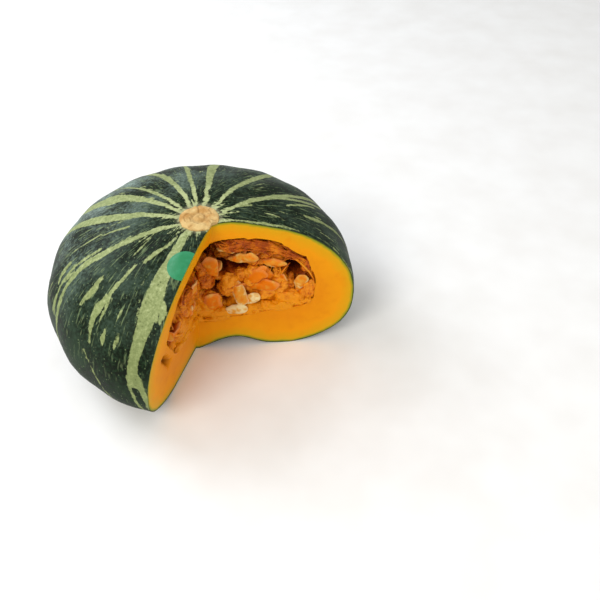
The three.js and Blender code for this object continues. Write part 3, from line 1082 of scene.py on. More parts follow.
@dataclass
class FruitWall:
    """Rind, flesh and hollow of the fruit as one closed skin with the wedge cut out."""

    skin_steps: int = 380
    skin_rows: int = 150
    arc_steps: int = 721
    hollow_steps: int = 168
    hollow_rows: int = 64
    swell: float = 0.55
    swell_size: float = 34
    swell_heights: Span = (1, 12)
    warts: float = 0.16
    wart_size: float = 5
    hollow_swell: float = 1.8
    hollow_swell_size: float = 10
    hollow_fractal: Triple = (0.8, 2, 4)
    shallow_rows: tuple[float, ...] = (0.4, 0.9, 1.8, 3.2)
    deep_rows: int = 24
    deep_reach: float = 0.95
    depth_parts: int = 4
    fleck_count: int = 150
    fleck_arcs: Span = (20, 215)
    fleck_lengths: Span = (3, 13)
    fleck_halves: Span = (0.1, 0.8)
    fleck_thinning: Span = (2, 3)
    fleck_slant: float = 1.5
    streak_count: int = 30
    streak_start: float = 11
    streak_jitter: float = 0.35
    streak_lengths: Span = (4, 14)
    streak_halves: Span = (0.3, 0.9)
    streak_taper: float = 0.6
    underside: tuple[tuple[Vector, Dimple], ...] = (
        (Vector((25, -14, 0)), Dimple(5.5, 15)), (Vector((-5, -25, 0)), Dimple(-5, 13)))
    cut_wave: float = 0.35
    cut_wave_size: float = 14
    pit: tuple[Vector, Vector] = (Vector((-4.6, -77, 49.5)), Vector((-5.4, -68.5, 36)))
    pit_dip: Dimple = Dimple(6, 1.9)
    pit_ragged: float = 1.2

    def flecks(self, chance: Random) -> list[Stripe]:
        """Draws short dry flecks all over the rind.

        Args:
            chance: Source of the draws.

        Returns:
            The flecks.
        """
        short = []
        for _ in range(self.fleck_count):
            arc = chance.uniform(*self.fleck_arcs)
            azimuth = chance.uniform(-180, 180)
            length = chance.uniform(*self.fleck_lengths)
            half = chance.uniform(*self.fleck_halves)
            slant = chance.uniform(-self.fleck_slant, self.fleck_slant)
            short.append(Stripe((
                (arc, azimuth, half / self.fleck_thinning[0]),
                (arc + length / 2, azimuth + slant / 2, half),
                (arc + length, azimuth + slant, half / self.fleck_thinning[1]),
            )))
        return short

    def stem_streaks(self, chance: Random) -> list[Stripe]:
        """Draws fine pale streaks that fan out from the stem button.

        Args:
            chance: Source of the draws.

        Returns:
            The streaks.
        """
        fan = []
        middle = Vector((*FRUIT.stem_place, 0))
        for step in range(self.streak_count):
            jitter = chance.uniform(-self.streak_jitter, self.streak_jitter)
            way = turned(360 * (step + jitter) / self.streak_count)
            length = chance.uniform(*self.streak_lengths)
            half = chance.uniform(*self.streak_halves)
            path = []
            for share in (0, 0.5, 1):
                place = middle + way * (self.streak_start + length * share)
                path.append((place.length, azimuth_of(place), half * (1 - self.streak_taper * share)))
            fan.append(Stripe(tuple(path)))
        return fan

    def stripes(self) -> list[Stripe]:
        """Joins the long stripes, the streaks at the stem and the flecks."""
        chance = Random(RANDOM_SEED)
        return [*STRIPES, *self.stem_streaks(chance), *self.flecks(chance)]

    def skin(self) -> BMesh:
        """Shapes the skin and stores azimuth, arc and stripes on its points.

        Returns:
            The skin, open where the wedge is cut out.
        """
        shape = bmesh.new()
        bmesh.ops.create_uvsphere(shape, u_segments=self.skin_steps, v_segments=self.skin_rows, radius=1)
        directions = [vert.co.copy() for vert in shape.verts]
        radii = np.array([FRUIT.radius * math.hypot(d.x, d.y) for d in directions])
        azimuths = np.array([azimuth_of(d) for d in directions])
        arcs = np.interp([math.acos(max(-1, min(1, d.z))) for d in directions], *self.arc_table)
        inside = np.max([stripe.inside(arcs, azimuths, radii) for stripe in self.stripes()], axis=0)
        kept = (Layer.AROUND, Layer.ARC, Layer.STRIPE, Layer.DEPTH, Layer.CREVICE)
        layers = {layer: layer.add_to(shape) for layer in kept}
        for index, vert in enumerate(shape.verts):
            on_crown = directions[index].z > 0
            height = FRUIT.crown(radii[index]) if on_crown else FRUIT.base(radii[index])
            level = turned(azimuths[index]) * radii[index]
            if not on_crown:
                pressed = sum(dip.at((level - middle).length) for middle, dip in self.underside)
                height = max(0, height + pressed)
            point = FRUIT.shaped(level + UP * height, on_crown)
            swell = self.swell * noise.noise(point / self.swell_size)
            warts = self.warts * noise.noise(point / self.wart_size)
            lift = smoothstep(point.z, *self.swell_heights) * (swell + warts)
            vert.co = point + (point - UP * FRUIT.equator).normalized() * lift
            vert[layers[Layer.AROUND]] = (azimuths[index] - NOTCH.middle_azimuth) % 360
            vert[layers[Layer.ARC]] = arcs[index]
            vert[layers[Layer.STRIPE]] = inside[index]
        NOTCH.cut(shape)
        return shape

    @cached_property
    def arc_table(self) -> tuple[np.ndarray, np.ndarray]:
        """Measures along the skin from its top to the blossom end.

        Returns:
            Angles down from the top of the unit sphere, and the distance along the skin at each.
        """
        angles = np.linspace(0, math.pi, self.arc_steps)
        radii = FRUIT.radius * np.sin(angles)
        heights = [FRUIT.crown(r) if a < math.pi / 2 else FRUIT.base(r) for a, r in zip(angles, radii)]
        steps = np.hypot(np.diff(radii), np.diff(heights))
        return angles, np.concatenate([[0], np.cumsum(steps)])

    def hollow(self) -> BMesh:
        """Shapes the lumpy wall of the seed hollow.

        Returns:
            The wall, which faces inwards and is open where the wedge is cut out.
        """
        shape = bmesh.new()
        bmesh.ops.create_uvsphere(
            shape, u_segments=self.hollow_steps, v_segments=self.hollow_rows, radius=1)
        middle = UP * HOLLOW.height
        for vert in shape.verts:
            way = vert.co.copy()
            radius = HOLLOW.radius * math.hypot(way.x, way.y)
            height = HOLLOW.roof(radius) if way.z > 0 else HOLLOW.floor(radius)
            azimuth = azimuth_of(way)
            point = turned(azimuth) * (radius * HOLLOW.reach(azimuth, height)) + UP * height
            lump = self.hollow_swell * noise.fractal(point / self.hollow_swell_size, *self.hollow_fractal)
            vert.co = point + (point - middle).normalized() * lump
        bmesh.ops.reverse_faces(shape, faces=shape.faces)
        NOTCH.cut(shape)
        return shape

    def knife_face(self, shape: BMesh, outer: list[BMVert], inner: list[BMVert]) -> list[BMFace]:
        """Fills one knife face with rows from the rind to the hollow.

        Args:
            shape: Mesh that holds both rims.
            outer: Rim of the rind, from top to bottom.
            inner: Rim of the hollow, from top to bottom.

        Returns:
            The faces of the cut.
        """
        before = set(shape.faces)
        targets = matched(outer, inner)
        starts = [vert.co.copy() for vert in outer]
        row = outer
        for step in range(len(self.shallow_rows) + self.deep_rows):
            made = bmesh.ops.extrude_edge_only(shape, edges=rim_edges(shape, row))["geom"]
            fresh = {item for item in made if isinstance(item, BMVert)}
            linked = [[edge.other_vert(vert) for edge in vert.link_edges] for vert in row]
            row = [next(other for other in others if other in fresh) for others in linked]
            for vert, start, target in zip(row, starts, targets):
                vert.co = start.lerp(target, self.row_share(step, (target - start).length))
        bmesh.ops.bridge_loops(shape, edges=rim_edges(shape, row) + rim_edges(shape, inner))
        return [face for face in shape.faces if face not in before]

    def row_share(self, step: int, width: float) -> float:
        """Spaces the rows of a knife face, closely under the rind and evenly further in.

        Args:
            step: Number of the row.
            width: Distance from the rind to the hollow.

        Returns:
            Share of the way at which the row lies.
        """
        if step < len(self.shallow_rows):
            return self.shallow_rows[step] / width
        last = self.shallow_rows[-1] / width
        return last + (self.deep_reach - last) * (step - len(self.shallow_rows) + 1) / self.deep_rows

    def build(self) -> BMesh:
        """Joins skin, knife faces and hollow.

        Returns:
            One closed mesh.
        """
        shape = self.skin()
        lining = meshed("lining", self.hollow())
        outer_rims = NOTCH.rims(shape.edges)
        skin_faces = set(shape.faces)
        shape.from_mesh(lining)
        bpy.data.meshes.remove(lining)
        inside = [face for face in shape.faces if face not in skin_faces]
        for face in inside:
            face.material_index = WallPart.LINING
        inner_rims = NOTCH.rims(dict.fromkeys(edge for face in inside for edge in face.edges))
        for outer, inner in zip(outer_rims, inner_rims):
            for face in self.knife_face(shape, outer, inner):
                face.material_index = WallPart.FLESH
        self.store_depth(shape, outer_rims)
        bmesh.ops.remove_doubles(shape, verts=shape.verts, dist=WELD)
        self.press_cuts(shape)
        bmesh.ops.recalc_face_normals(shape, faces=shape.faces)
        for edge in shape.edges:
            kinds = {face.material_index for face in edge.link_faces}
            edge.smooth = len(kinds) == 1 and edge.calc_face_angle(0) < CREASE_ANGLE
        return shape

    def store_depth(self, shape: BMesh, rims: list[list[BMVert]]) -> None:
        """Stores on each point of the flesh how deep it lies under the rind.

        Args:
            shape: Mesh of the wall.
            rims: Rims of the rind.
        """
        layer = Layer.DEPTH.of(shape)
        places = [
            start.co.lerp(end.co, part / self.depth_parts)
            for rim in rims
            for start, end in zip(rim, rim[1:])
            for part in range(self.depth_parts)
        ]
        tree = kdtree.KDTree(len(places))
        for index, place in enumerate(places):
            tree.insert(place, index)
        tree.balance()
        for vert in shape.verts:
            if any(face.material_index != WallPart.RIND for face in vert.link_faces):
                vert[layer] = tree.find(vert.co)[2]

    def press_cuts(self, shape: BMesh) -> None:
        """Gives the knife faces a slight wave, and the left one a small pit.

        Args:
            shape: Mesh of the wall.
        """
        crevice = Layer.CREVICE.of(shape)
        for vert in shape.verts:
            if not all(face.material_index == WallPart.FLESH for face in vert.link_faces):
                continue
            knife = min((NOTCH.right, NOTCH.left), key=lambda face: abs(face.open_depth(vert.co)))
            wave = self.cut_wave * (1 + noise.noise(vert.co / self.cut_wave_size)) / 2
            ragged = self.pit_ragged * noise.noise(vert.co / self.pit_ragged)
            pit = self.pit_dip.at(max(0, distance_to(vert.co, *self.pit) + ragged))
            # The pit's depth share is stored as painted shade for the flesh.
            vert[crevice] = pit / self.pit_dip.depth
            vert.co -= knife.normal * (knife.opens * (wave + pit))

    def dress(self) -> Object:
        """Makes the piece with its rind, flesh and lining."""
        finishes = [WaxyRind().make(), CutFlesh().make(), HollowLining().make()]
        return finished("fruit_wall_dressed", self.build(), finishes, Slot.RIND, ["fruit_wall"])


def rim_edges(shape: BMesh, rim: list[BMVert]) -> list[BMEdge]:
    """Edges between following points of a rim."""
    return [shape.edges.get(pair) for pair in zip(rim, rim[1:])]


def length_shares(rim: list[BMVert]) -> np.ndarray:
    """Share of a rim's length at each of its points."""
    lengths = np.cumsum([0, *((end.co - start.co).length for start, end in zip(rim, rim[1:]))])
    return lengths / lengths[-1]


def matched(outer: list[BMVert], inner: list[BMVert]) -> list[Vector]:
    """Finds for each point of one rim the place at the same share of another rim's length.

    Args:
        outer: Rim whose points are matched.
        inner: Rim that the places lie on.

    Returns:
        One place for each point of the outer rim.
    """
    wanted, known = length_shares(outer), length_shares(inner)
    columns = [np.interp(wanted, known, [vert.co[axis] for vert in inner]) for axis in range(3)]
    return [Vector(place) for place in zip(*columns)]


@dataclass
class StemButton:
    """Corky button where the stem came off: a rough plate with a nub in a ring, trimmed by the knife."""

    steps: int = 150
    rings: int = 44
    foot_rings: int = 6
    sunk: float = 0.7
    crust: tuple[Span, ...] = (
        (11.9, 101.7), (11.2, 102.1), (8.7, 102.5), (6, 102.4), (4.7, 101.9), (3.5, 101.9), (2.6, 102.5),
        (1, 102.5), (0, 102.2))
    waver: float = 0.7
    waver_turns: float = 3.2
    fine_waver: float = 0.5
    fine_turns: float = 4
    ripple: float = 0.35
    ripple_size: float = 2.6
    ripple_fractal: Triple = (0.8, 2, 3)
    edge_ripple: float = 0.5
    cracks: tuple[tuple[Span, ...], ...] = (
        ((5.4, 195), (5.9, 225), (5.6, 260), (6.6, 285)),
        ((4.8, 330), (7.5, 338), (10.6, 330)),
        ((5.2, 345), (8, 352), (11, 350)),
        ((4.6, 110), (7, 104), (11, 110)),
        ((6, 40), (8.2, 30), (8.8, 62), (11, 66)),
        ((7.6, 160), (9.4, 185), (9, 215)),
        ((8.4, 255), (11, 250)),
    )
    crack_dip: Dimple = Dimple(1, 0.4)
    crack_depth: float = 0.3
    ring_radius: float = 4.1
    ring_dip: Dimple = Dimple(0.7, 0.9)

    def height(self, radius: float) -> float:
        """Height of the crust at a distance from the button's middle."""
        radii, heights = zip(*reversed(self.crust))
        return float(np.interp(radius, radii, heights))

    def seam(self, place: Vector) -> float:
        """Measures how far a place on the crust lies in a crack or in the ring round the nub.

        Args:
            place: The place, from the button's middle.

        Returns:
            A share from 0, outside, to 1.
        """
        deepest = self.ring_dip.at(math.hypot(place.x, place.y) - self.ring_radius)
        level = Vector((place.x, place.y, 0))
        for crack in self.cracks:
            corners = [turned(angle) * distance for distance, angle in crack]
            for start, end in zip(corners, corners[1:]):
                deepest = max(deepest, self.crack_dip.at(distance_to(level, start, end)))
        return deepest

    def build(self) -> BMesh:
        """Shapes the button.

        Returns:
            A spun plate with a cracked top, cut at the knife faces and closed below.
        """
        shape = bmesh.new()
        crevice = Layer.CREVICE.add_to(shape)
        widest = self.crust[0][0]
        radii = [widest * step / self.rings for step in range(self.rings + 1)]
        line = [shape.verts.new((radius, 0, self.height(radius))) for radius in radii]
        for step in reversed(range(self.foot_rings + 1)):
            line.append(shape.verts.new((widest * step / self.foot_rings, 0, 0)))
        spun(shape, line, self.steps)
        for vert in shape.verts:
            rough = noise.fractal(vert.co / self.ripple_size, *self.ripple_fractal) * self.ripple
            seam = self.seam(vert.co)
            out = Vector((vert.co.x, vert.co.y, 0))
            way = out.normalized()
            turn = way * self.waver_turns
            wavy = (noise.noise(turn) + self.fine_waver * noise.noise(turn * self.fine_turns)) * self.waver
            vert[crevice] = seam
            vert.co += way * (wavy * out.length / widest) + Vector((*FRUIT.stem_place, 0))
            rind = FRUIT.crown_point(vert.co.x, vert.co.y).z
            if vert.co.z > 0:
                crust = vert.co.z + rough - seam * self.crack_depth
                vert.co.z = max(rind + rough * self.edge_ripple, crust)
            else:
                vert.co.z = rind - self.sunk
        NOTCH.cut(shape)
        bmesh.ops.holes_fill(shape, edges=[edge for edge in shape.edges if edge.is_boundary], sides=0)
        bmesh.ops.recalc_face_normals(shape, faces=shape.faces)
        return shape

    def dress(self) -> Object:
        """Makes the piece in cork."""
        return finished("stem_button_dressed", self.build(), [StemCork().make()], Slot.CORK, ["stem_button"])


@dataclass
class BlankLabel:
    """Round blank label that follows the rind and is cut off at the knife."""

    azimuth: float = -84
    distance: float = 47
    radius: float = 9.8
    thickness: float = 0.45
    lift: float = 0.4
    steps: int = 72
    rings: int = 12

    def build(self) -> BMesh:
        """Shapes the label.

        Returns:
            A spun disc, laid on the rind, trimmed and thickened.
        """
        shape = bmesh.new()
        line = [shape.verts.new((self.radius * step / self.rings, 0, 0)) for step in range(self.rings + 1)]
        spun(shape, line, self.steps)
        middle = turned(self.azimuth) * self.distance
        lean = UP.rotation_difference(FRUIT.crown_normal(middle.x, middle.y)).to_matrix()
        for vert in shape.verts:
            flat = middle + lean @ vert.co
            vert.co = FRUIT.crown_point(flat.x, flat.y) + FRUIT.crown_normal(flat.x, flat.y) * self.lift
        NOTCH.cut(shape)
        bmesh.ops.recalc_face_normals(shape, faces=shape.faces)
        if sum(face.normal.z for face in shape.faces) < 0:
            bmesh.ops.reverse_faces(shape, faces=shape.faces)
        bmesh.ops.solidify(shape, geom=shape.faces[:], thickness=self.thickness)
        bmesh.ops.recalc_face_normals(shape, faces=shape.faces)
        for edge in shape.edges:
            edge.smooth = edge.calc_face_angle(0) < CREASE_ANGLE
        return shape

    def dress(self) -> Object:
        """Makes the piece in plain film."""
        return finished("blank_label_dressed", self.build(), [LABEL_FILM.make()], Slot.LABEL, ["blank_label"])


class Draws:
    """Seeded row of draws, the same on every run."""

    factor = 1664525
    step = 1013904223
    span = 2 ** 32

    def __init__(self, start: int) -> None:
        """Starts the row."""
        self.state = start

    def between(self, low: float, high: float) -> float:
        """Next draw between two values."""
        self.state = (self.state * self.factor + self.step) % self.span
        return low + (high - low) * self.state / self.span


class BallMould:
    """A unit ball kept as a mesh, since adding it is quicker than making it again inside a large shape.

    A shape that only ever takes balls keeps the points of the newest one last.
    """

    def __init__(self, steps: int, rows: int) -> None:
        """Makes the ball.

        Args:
            steps: Points round the ball.
            rows: Rows from pole to pole.
        """
        shape = bmesh.new()
        bmesh.ops.create_uvsphere(shape, u_segments=steps, v_segments=rows, radius=1)
        self.mesh = meshed("ball_mould", shape)

    def add(self, shape: BMesh) -> list[BMVert]:
        """Adds a ball to a shape.

        Args:
            shape: Mesh that takes it.

        Returns:
            The ball's points.
        """
        before = len(shape.verts)
        shape.from_mesh(self.mesh)
        shape.verts.ensure_lookup_table()
        return shape.verts[before:]

    def clear(self) -> None:
        """Takes the mould out of the file."""
        bpy.data.meshes.remove(self.mesh)


@dataclass(frozen=True)
class Spot:
    """A place behind a knife face, as seen square on to the face."""

    along: float
    behind: float
    height: float

    def on(self, face: KnifeFace) -> Vector:
        """Gives the place in the part's frame.

        Args:
            face: Knife face that the place lies behind.

        Returns:
            The point.
        """
        tilt = math.radians(face.tilt)
        level = face.offset - face.opens * self.behind - (self.height - face.middle) * math.sin(tilt)
        across = turned(face.azimuth + 90) * (level / math.cos(tilt))
        return turned(face.azimuth) * self.along + across + UP * self.height


@dataclass(frozen=True)
class SeedSpot(Spot):
    """A seed that shows behind a knife face. Tone runs from 0, clean cream, to 1, coated in pulp."""

    turn: float
    lean: float = 15
    roll: float = 0
    tone: float = 0.5
    size: float = 1
    rim: float = 0.35
    gap: float = -1.5


@dataclass(frozen=True)
class Lobe(Spot):
    """A soft lump of pulp that shows behind a knife face."""

    radii: Triple
    turn: float = 0
    shade: float = 0
    gap: float = 0.6


@dataclass(frozen=True)
class Pocket:
    """A pocket in the pulp with painted shade in it, as seen square on to the knife face."""

    along: float
    height: float
    half_width: float
    half_height: float
    depth: float
    fall: float = 1.5

    def share(self, along: float, height: float) -> float:
        """Share from 0, outside the pocket, to 1 at its middle."""
        across, up = (along - self.along) / self.half_width, (height - self.height) / self.half_height
        return math.exp(-((across * across + up * up) ** self.fall))


@dataclass(frozen=True)
class PlacedSeed:
    """Frame at a seed's root end, with X along it and Z across its flat side, and how the seed looks."""

    matrix: Matrix
    tone: float
    size: float = 1
    rim: float = 0.2
    gap: float = 0.6


@dataclass(frozen=True)
class SeedForm:
    """A flat drop-shaped seed with a raised rim, narrower at its root end."""

    length: float = 17
    width: float = 10.5
    thickness: float = 3.8
    taper: float = 0.32
    steps: int = 24
    rows: int = 14
    rim: Span = (0.8, 0.93)
    belly: float = 0.72
    coat_lump: float = 2.2
    coat_size: float = 6

    def add(self, shape: BMesh, ball: BallMould, placed: PlacedSeed) -> list[BMVert]:
        """Adds one seed to a mesh.

        Args:
            shape: Mesh that takes it.
            ball: Ball that the seed is shaped from.
            placed: Its place and look.

        Returns:
            The seed's points.
        """
        made = ball.add(shape)
        tone, rim = Layer.TONE.of(shape), Layer.RIM.of(shape)
        for vert in made:
            z, y, x = vert.co
            flat = min(1.0, math.hypot(x, y))
            narrow = 1 - self.taper * (1 - x)
            swell = self.belly * (1 - flat ** 2) + (1 - self.belly) * math.sqrt(1 - flat ** 6)
            half = math.copysign(self.thickness / 2 * swell, z)
            vert[tone] = placed.tone
            vert[rim] = smoothstep(flat, *self.rim) * placed.rim
            level = Vector(((x + 1) * self.length / 2, y * narrow * self.width / 2, half)) * placed.size
            place = placed.matrix @ level
            vert.co = place + drift(place / self.coat_size) * (self.coat_lump * placed.tone)
        return made


@dataclass(frozen=True)
class StrandForm:
    """Torn strands in the surface of the pulp, which turn this way and that along a knife face."""

    long: float = 12
    across: float = 2.6
    deep: float = 5
    rise: float = 1.5
    turn: float = 2.2
    turn_size: float = 26
    furrow: float = 3.2
    fine: float = 0.5
    fine_scale: float = 2.7

    def at(self, face: KnifeFace, place: Vector) -> float:
        """Measures the strands at a place.

        Args:
            face: Knife face that they run along.
            place: The place.

        Returns:
            About -1 in a furrow and 1 on a strand.
        """
        swing = self.turn * noise.noise(place / self.turn_size)
        level, up = place.dot(turned(face.azimuth)), place.z
        along = level * math.cos(swing) + up * math.sin(swing)
        over = up * math.cos(swing) - level * math.sin(swing)
        spot = Vector((along / self.long, over / self.across, place.dot(face.normal) / self.deep))
        return 1 - self.furrow * abs(noise.noise(spot)) + self.fine * noise.noise(spot * self.fine_scale)


@dataclass(frozen=True)
class StringForm:
    """Strings of the hollow: arches over the core, fine fibres down from the roof and strings along it."""

    radius: float = 0.9
    gap: float = 0.4
    thin_end: float = 0.35
    thinning: float = 0.6
    shade: float = -0.1
    unlike: float = 0.3
    roof_shade: float = 0.22
    roof_heights: Span = (58, 74)
    arch_parts: int = 12
    arch_reach: float = 40
    arch_rise: float = 3.5
    arch_root: float = 3
    fibre_parts: int = 9
    fibre_radius: float = 0.38
    fibre_radii: Span = (0.6, 1.5)
    fibre_tops: Span = (0.25, 0.98)
    fibre_swing: tuple[Span, ...] = ((-0.35, 0.35), (-0.35, 0.35), (-0.6, 0.1))
    fibre_foot: float = 0.97
    fibre_sway: tuple[Span, ...] = ((-3, 3), (-3, 3), (-4, 0))
    longest_fibre: float = 16
    roof_radii: Span = (0.4, 1.1)
    roof_starts: Span = (8, 58)
    roof_lengths: Span = (8, 26)
    roof_behind: Span = (1.5, 9)
    roof_drops: tuple[Span, Span] = ((0.5, 6), (1, 9))
    roof_sag: Span = (0, 4)


@dataclass(frozen=True)
class LedgeForm:
    """Row of small lumps on the floor along a knife face."""

    reach: Span
    step: float = 6
    steps: Span = (0.7, 1.2)
    behind: Span = (2.5, 5)
    radii: tuple[Span, Span, Span] = ((5, 8), (3.5, 5), (3, 5))
    lift: float = 0.5
    turns: Span = (-25, 25)
    shades: Span = (-0.15, 0.05)
    gap: float = -0.3

    def lobes(self, face: KnifeFace, chance: Random) -> list[Lobe]:
        """Sets out the lumps.

        Args:
            face: Knife face that they lie behind.
            chance: Source of the draws.

        Returns:
            The lumps.
        """
        row = []
        along = self.reach[0]
        while along < self.reach[1]:
            behind = chance.uniform(*self.behind)
            level = Spot(along, behind, HOLLOW.height).on(face)
            floor = HOLLOW.floor(min(HOLLOW.radius, math.hypot(level.x, level.y)))
            radii = tuple(chance.uniform(*span) for span in self.radii)
            turn, shade = chance.uniform(*self.turns), chance.uniform(*self.shades)
            row.append(Lobe(along, behind, floor + radii[2] * self.lift, radii, turn, shade, self.gap))
            along += self.step * chance.uniform(*self.steps)
        return row


@dataclass
class SeedBunch:
    """One bunch of the hollow: a core of pulp with seeds and strings standing out of it."""

    side: str
    face: KnifeFace
    turn: float
    centre: Vector
    radii: Vector
    sector: Span
    seeds: int
    strings: int
    shown: tuple[SeedSpot, ...] = ()
    lobes: tuple[Lobe, ...] = ()
    pockets: tuple[Pocket, ...] = ()
    pocket_shade: float = 0.9
    pocket_edge: float = 0.05
    fibres: int = 40
    roof_strings: int = 0
    ledge: LedgeForm | None = None
    spread_gap: float | None = None
    spread_heights: Span = (42, 60)
    spread_facing: Span = (-0.15, 0.45)
    spread_drop: float = 9
    strand: StrandForm = StrandForm()
    string: StringForm = StringForm()
    power: float = 2.6
    lump: float = 3.5
    waves: float = 4.5
    seed: SeedForm = SeedForm()
    seed_root: float = 4
    seed_bed: float = 0.6
    seed_leans: Span = (8, 42)
    seed_rolls: Span = (-40, 40)
    seed_rounds: int = 3
    coated: float = 0.62
    coat_turn: float = 2.3
    golden_angle: float = 137.508
    steps: int = 200
    rows: int = 120
    lobe_steps: int = 48
    lobe_rows: int = 30
    tangle: float = 2.2
    tangle_size: float = 8
    core_fractal: Triple = (0.7, 2.1, 4)
    lobe_fractal: Triple = (0.7, 2.1, 3)
    lobe_scale: float = 1.6
    lobe_torn: float = 0.55
    lobe_strand: float = 0.35
    palest: float = -0.1
    torn_shade: float = 0.09
    core_strand_shade: float = 0.14
    lobe_strand_shade: float = 0.13
    dark_lobe: float = 0.1
    dark_strand_shade: float = 0.07
    clearance: float = 1.2
    uneven: float = 0.4
    bedded: float = -1.2
    overlap: float = 4
    beside_share: float = 0.25

    @property
    def own_frame(self) -> Matrix:
        """Frame with X along the bunch's face, Y into the fruit and Z up."""
        return Matrix.Rotation(math.radians(self.turn), 4, "Z") @ Matrix.Translation(self.centre)

    @property
    def outwards(self) -> Vector:
        """Direction out of the bunch's knife face."""
        return self.face.normal * self.face.opens

    def core_place(self, way: Vector) -> Vector:
        """Finds the place on the core in a direction from its middle.

        Args:
            way: The direction, of unit length.

        Returns:
            The place, in the bunch's own frame.
        """
        reach = sum(abs(part) ** self.power for part in way) ** (-1 / self.power)
        x, y, z = way * self.waves
        lump = self.lump * math.sin(x + 1) * math.sin(y + 2) * math.cos(z)
        return self.radii * way * reach + way * lump

    def core_normal(self, way: Vector) -> Vector:
        """Outward direction of the core, in the bunch's own frame."""
        return Vector([part / radius for part, radius in zip(way, self.radii)]).normalized()

    def spiral(self, step: int, count: int) -> Vector:
        """One of a number of evenly spread directions."""
        height = 1 - 2 * (step + 0.5) / count
        return turned(step * self.golden_angle) * math.sqrt(1 - height * height) + UP * height

    def kept_in(self, point: Vector, clearance: float, bed: float | None = None) -> Vector:
        """Moves a point inside the hollow, its own sector and the uncut part of the fruit.

        Args:
            point: Point in the part's frame.
            clearance: Distance to keep from the knife faces and the roof.
            bed: Distance to keep from the other walls and the next bunch, the clearance if none is given.

        Returns:
            The moved point.
        """
        bed = clearance if bed is None else bed
        kept = point.copy()
        for azimuth, way in zip(self.sector, (1, -1)):
            inwards = turned(azimuth + 90) * way
            beside = bed * self.beside_share if bed > 0 else -self.overlap
            kept += inwards * max(0, beside - kept.dot(inwards))
        kept = NOTCH.pushed_out(kept, clearance)
        reach = HOLLOW.reach(azimuth_of(kept), kept.z)
        radius = math.hypot(kept.x, kept.y)
        limit = HOLLOW.radius * reach - bed
        if radius > limit:
            kept.x *= limit / radius
            kept.y *= limit / radius
            radius = limit
        level = min(radius / reach, HOLLOW.radius)
        kept.z = min(max(kept.z, HOLLOW.floor(level) + bed), HOLLOW.roof(level) - clearance)
        return kept

    def spread_to_face(self, place: Vector, normal: Vector) -> Vector:
        """Draws the lower front of the core down and out to just behind the knife face.

        Args:
            place: Point of the core.
            normal: Outward direction there.

        Returns:
            The moved point.
        """
        if self.spread_gap is None:
            return place
        low = 1 - smoothstep(place.z, *self.spread_heights)
        share = low * smoothstep(normal.dot(self.outwards), *self.spread_facing)
        behind = -self.face.open_depth(place) - self.spread_gap
        return place + self.outwards * (share * max(0, behind)) - UP * (self.spread_drop * share * low)

    def pulp(self) -> BMesh:
        """Shapes the torn core and its lobes.

        Returns:
            Their mesh, with its crevices stored for the finish.
        """
        shape = bmesh.new()
        crevice = Layer.CREVICE.add_to(shape)
        core = BallMould(self.steps, self.rows)
        core.add(shape)
        core.clear()
        to_part = self.own_frame
        outwards = self.outwards
        for vert in shape.verts:
            way = vert.co.normalized()
            normal = to_part.to_3x3() @ self.core_normal(way)
            place = self.spread_to_face(to_part @ self.core_place(way), normal)
            torn = noise.fractal(place / self.tangle_size, *self.core_fractal) * self.tangle
            strand = self.strand.at(self.face, place)
            fold = 0.0
            if normal.dot(outwards) > 0:
                along = place.dot(turned(self.face.azimuth))
                shares = [(pocket.share(along, place.z), pocket.depth) for pocket in self.pockets]
                fold, depth = max(shares, default=(0.0, 0.0))
                place -= outwards * (fold * depth)
            place += normal * (torn + self.strand.rise * strand)
            # Painted shade: dark in the pockets, darker where the torn surface and its strands dip and lighter
            # where they rise.
            shade = self.pocket_shade * fold - torn * self.torn_shade - strand * self.core_strand_shade
            vert[crevice] = max(self.palest, shade)
            vert.co = self.kept_in(place, self.clearance + strand * self.uneven, self.bedded)
        lobes = list(self.lobes)
        if self.ledge is not None:
            lobes += self.ledge.lobes(self.face, Random(RANDOM_SEED + self.seeds))
        ball = BallMould(self.lobe_steps, self.lobe_rows)
        for lobe in lobes:
            self.add_lobe(shape, ball, lobe)
        ball.clear()
        return shape

    def add_lobe(self, shape: BMesh, ball: BallMould, lobe: Lobe) -> None:
        """Adds one lump of pulp.

        Args:
            shape: Mesh that takes it.
            ball: Ball that the lump is shaped from.
            lobe: Its place and size.
        """
        made = ball.add(shape)
        crevice = Layer.CREVICE.of(shape)
        lean = Matrix.Rotation(math.radians(self.face.azimuth), 4, "Z") @ Matrix.Rotation(
            math.radians(-lobe.turn), 4, "Y")
        middle = lobe.on(self.face)
        unlike = self.uneven * noise.noise(middle * self.waves)
        strand_shade = self.lobe_strand_shade if lobe.shade < self.dark_lobe else self.dark_strand_shade
        for vert in made:
            place = middle + lean @ (vert.co * Vector(lobe.radii))
            torn = noise.fractal(place / self.tangle_size * self.lobe_scale, *self.lobe_fractal)
            strand = self.strand.at(self.face, place)
            lift = torn * self.tangle * self.lobe_torn + strand * self.strand.rise * self.lobe_strand
            place += (lean @ vert.co) * lift
            # Painted shade of the lump: its own shade, darker where the torn surface and its strands dip.
            vert[crevice] = lobe.shade - torn * self.torn_shade - strand * strand_shade
            vert.co = self.kept_in(place, lobe.gap + unlike + torn * self.uneven, self.bedded)

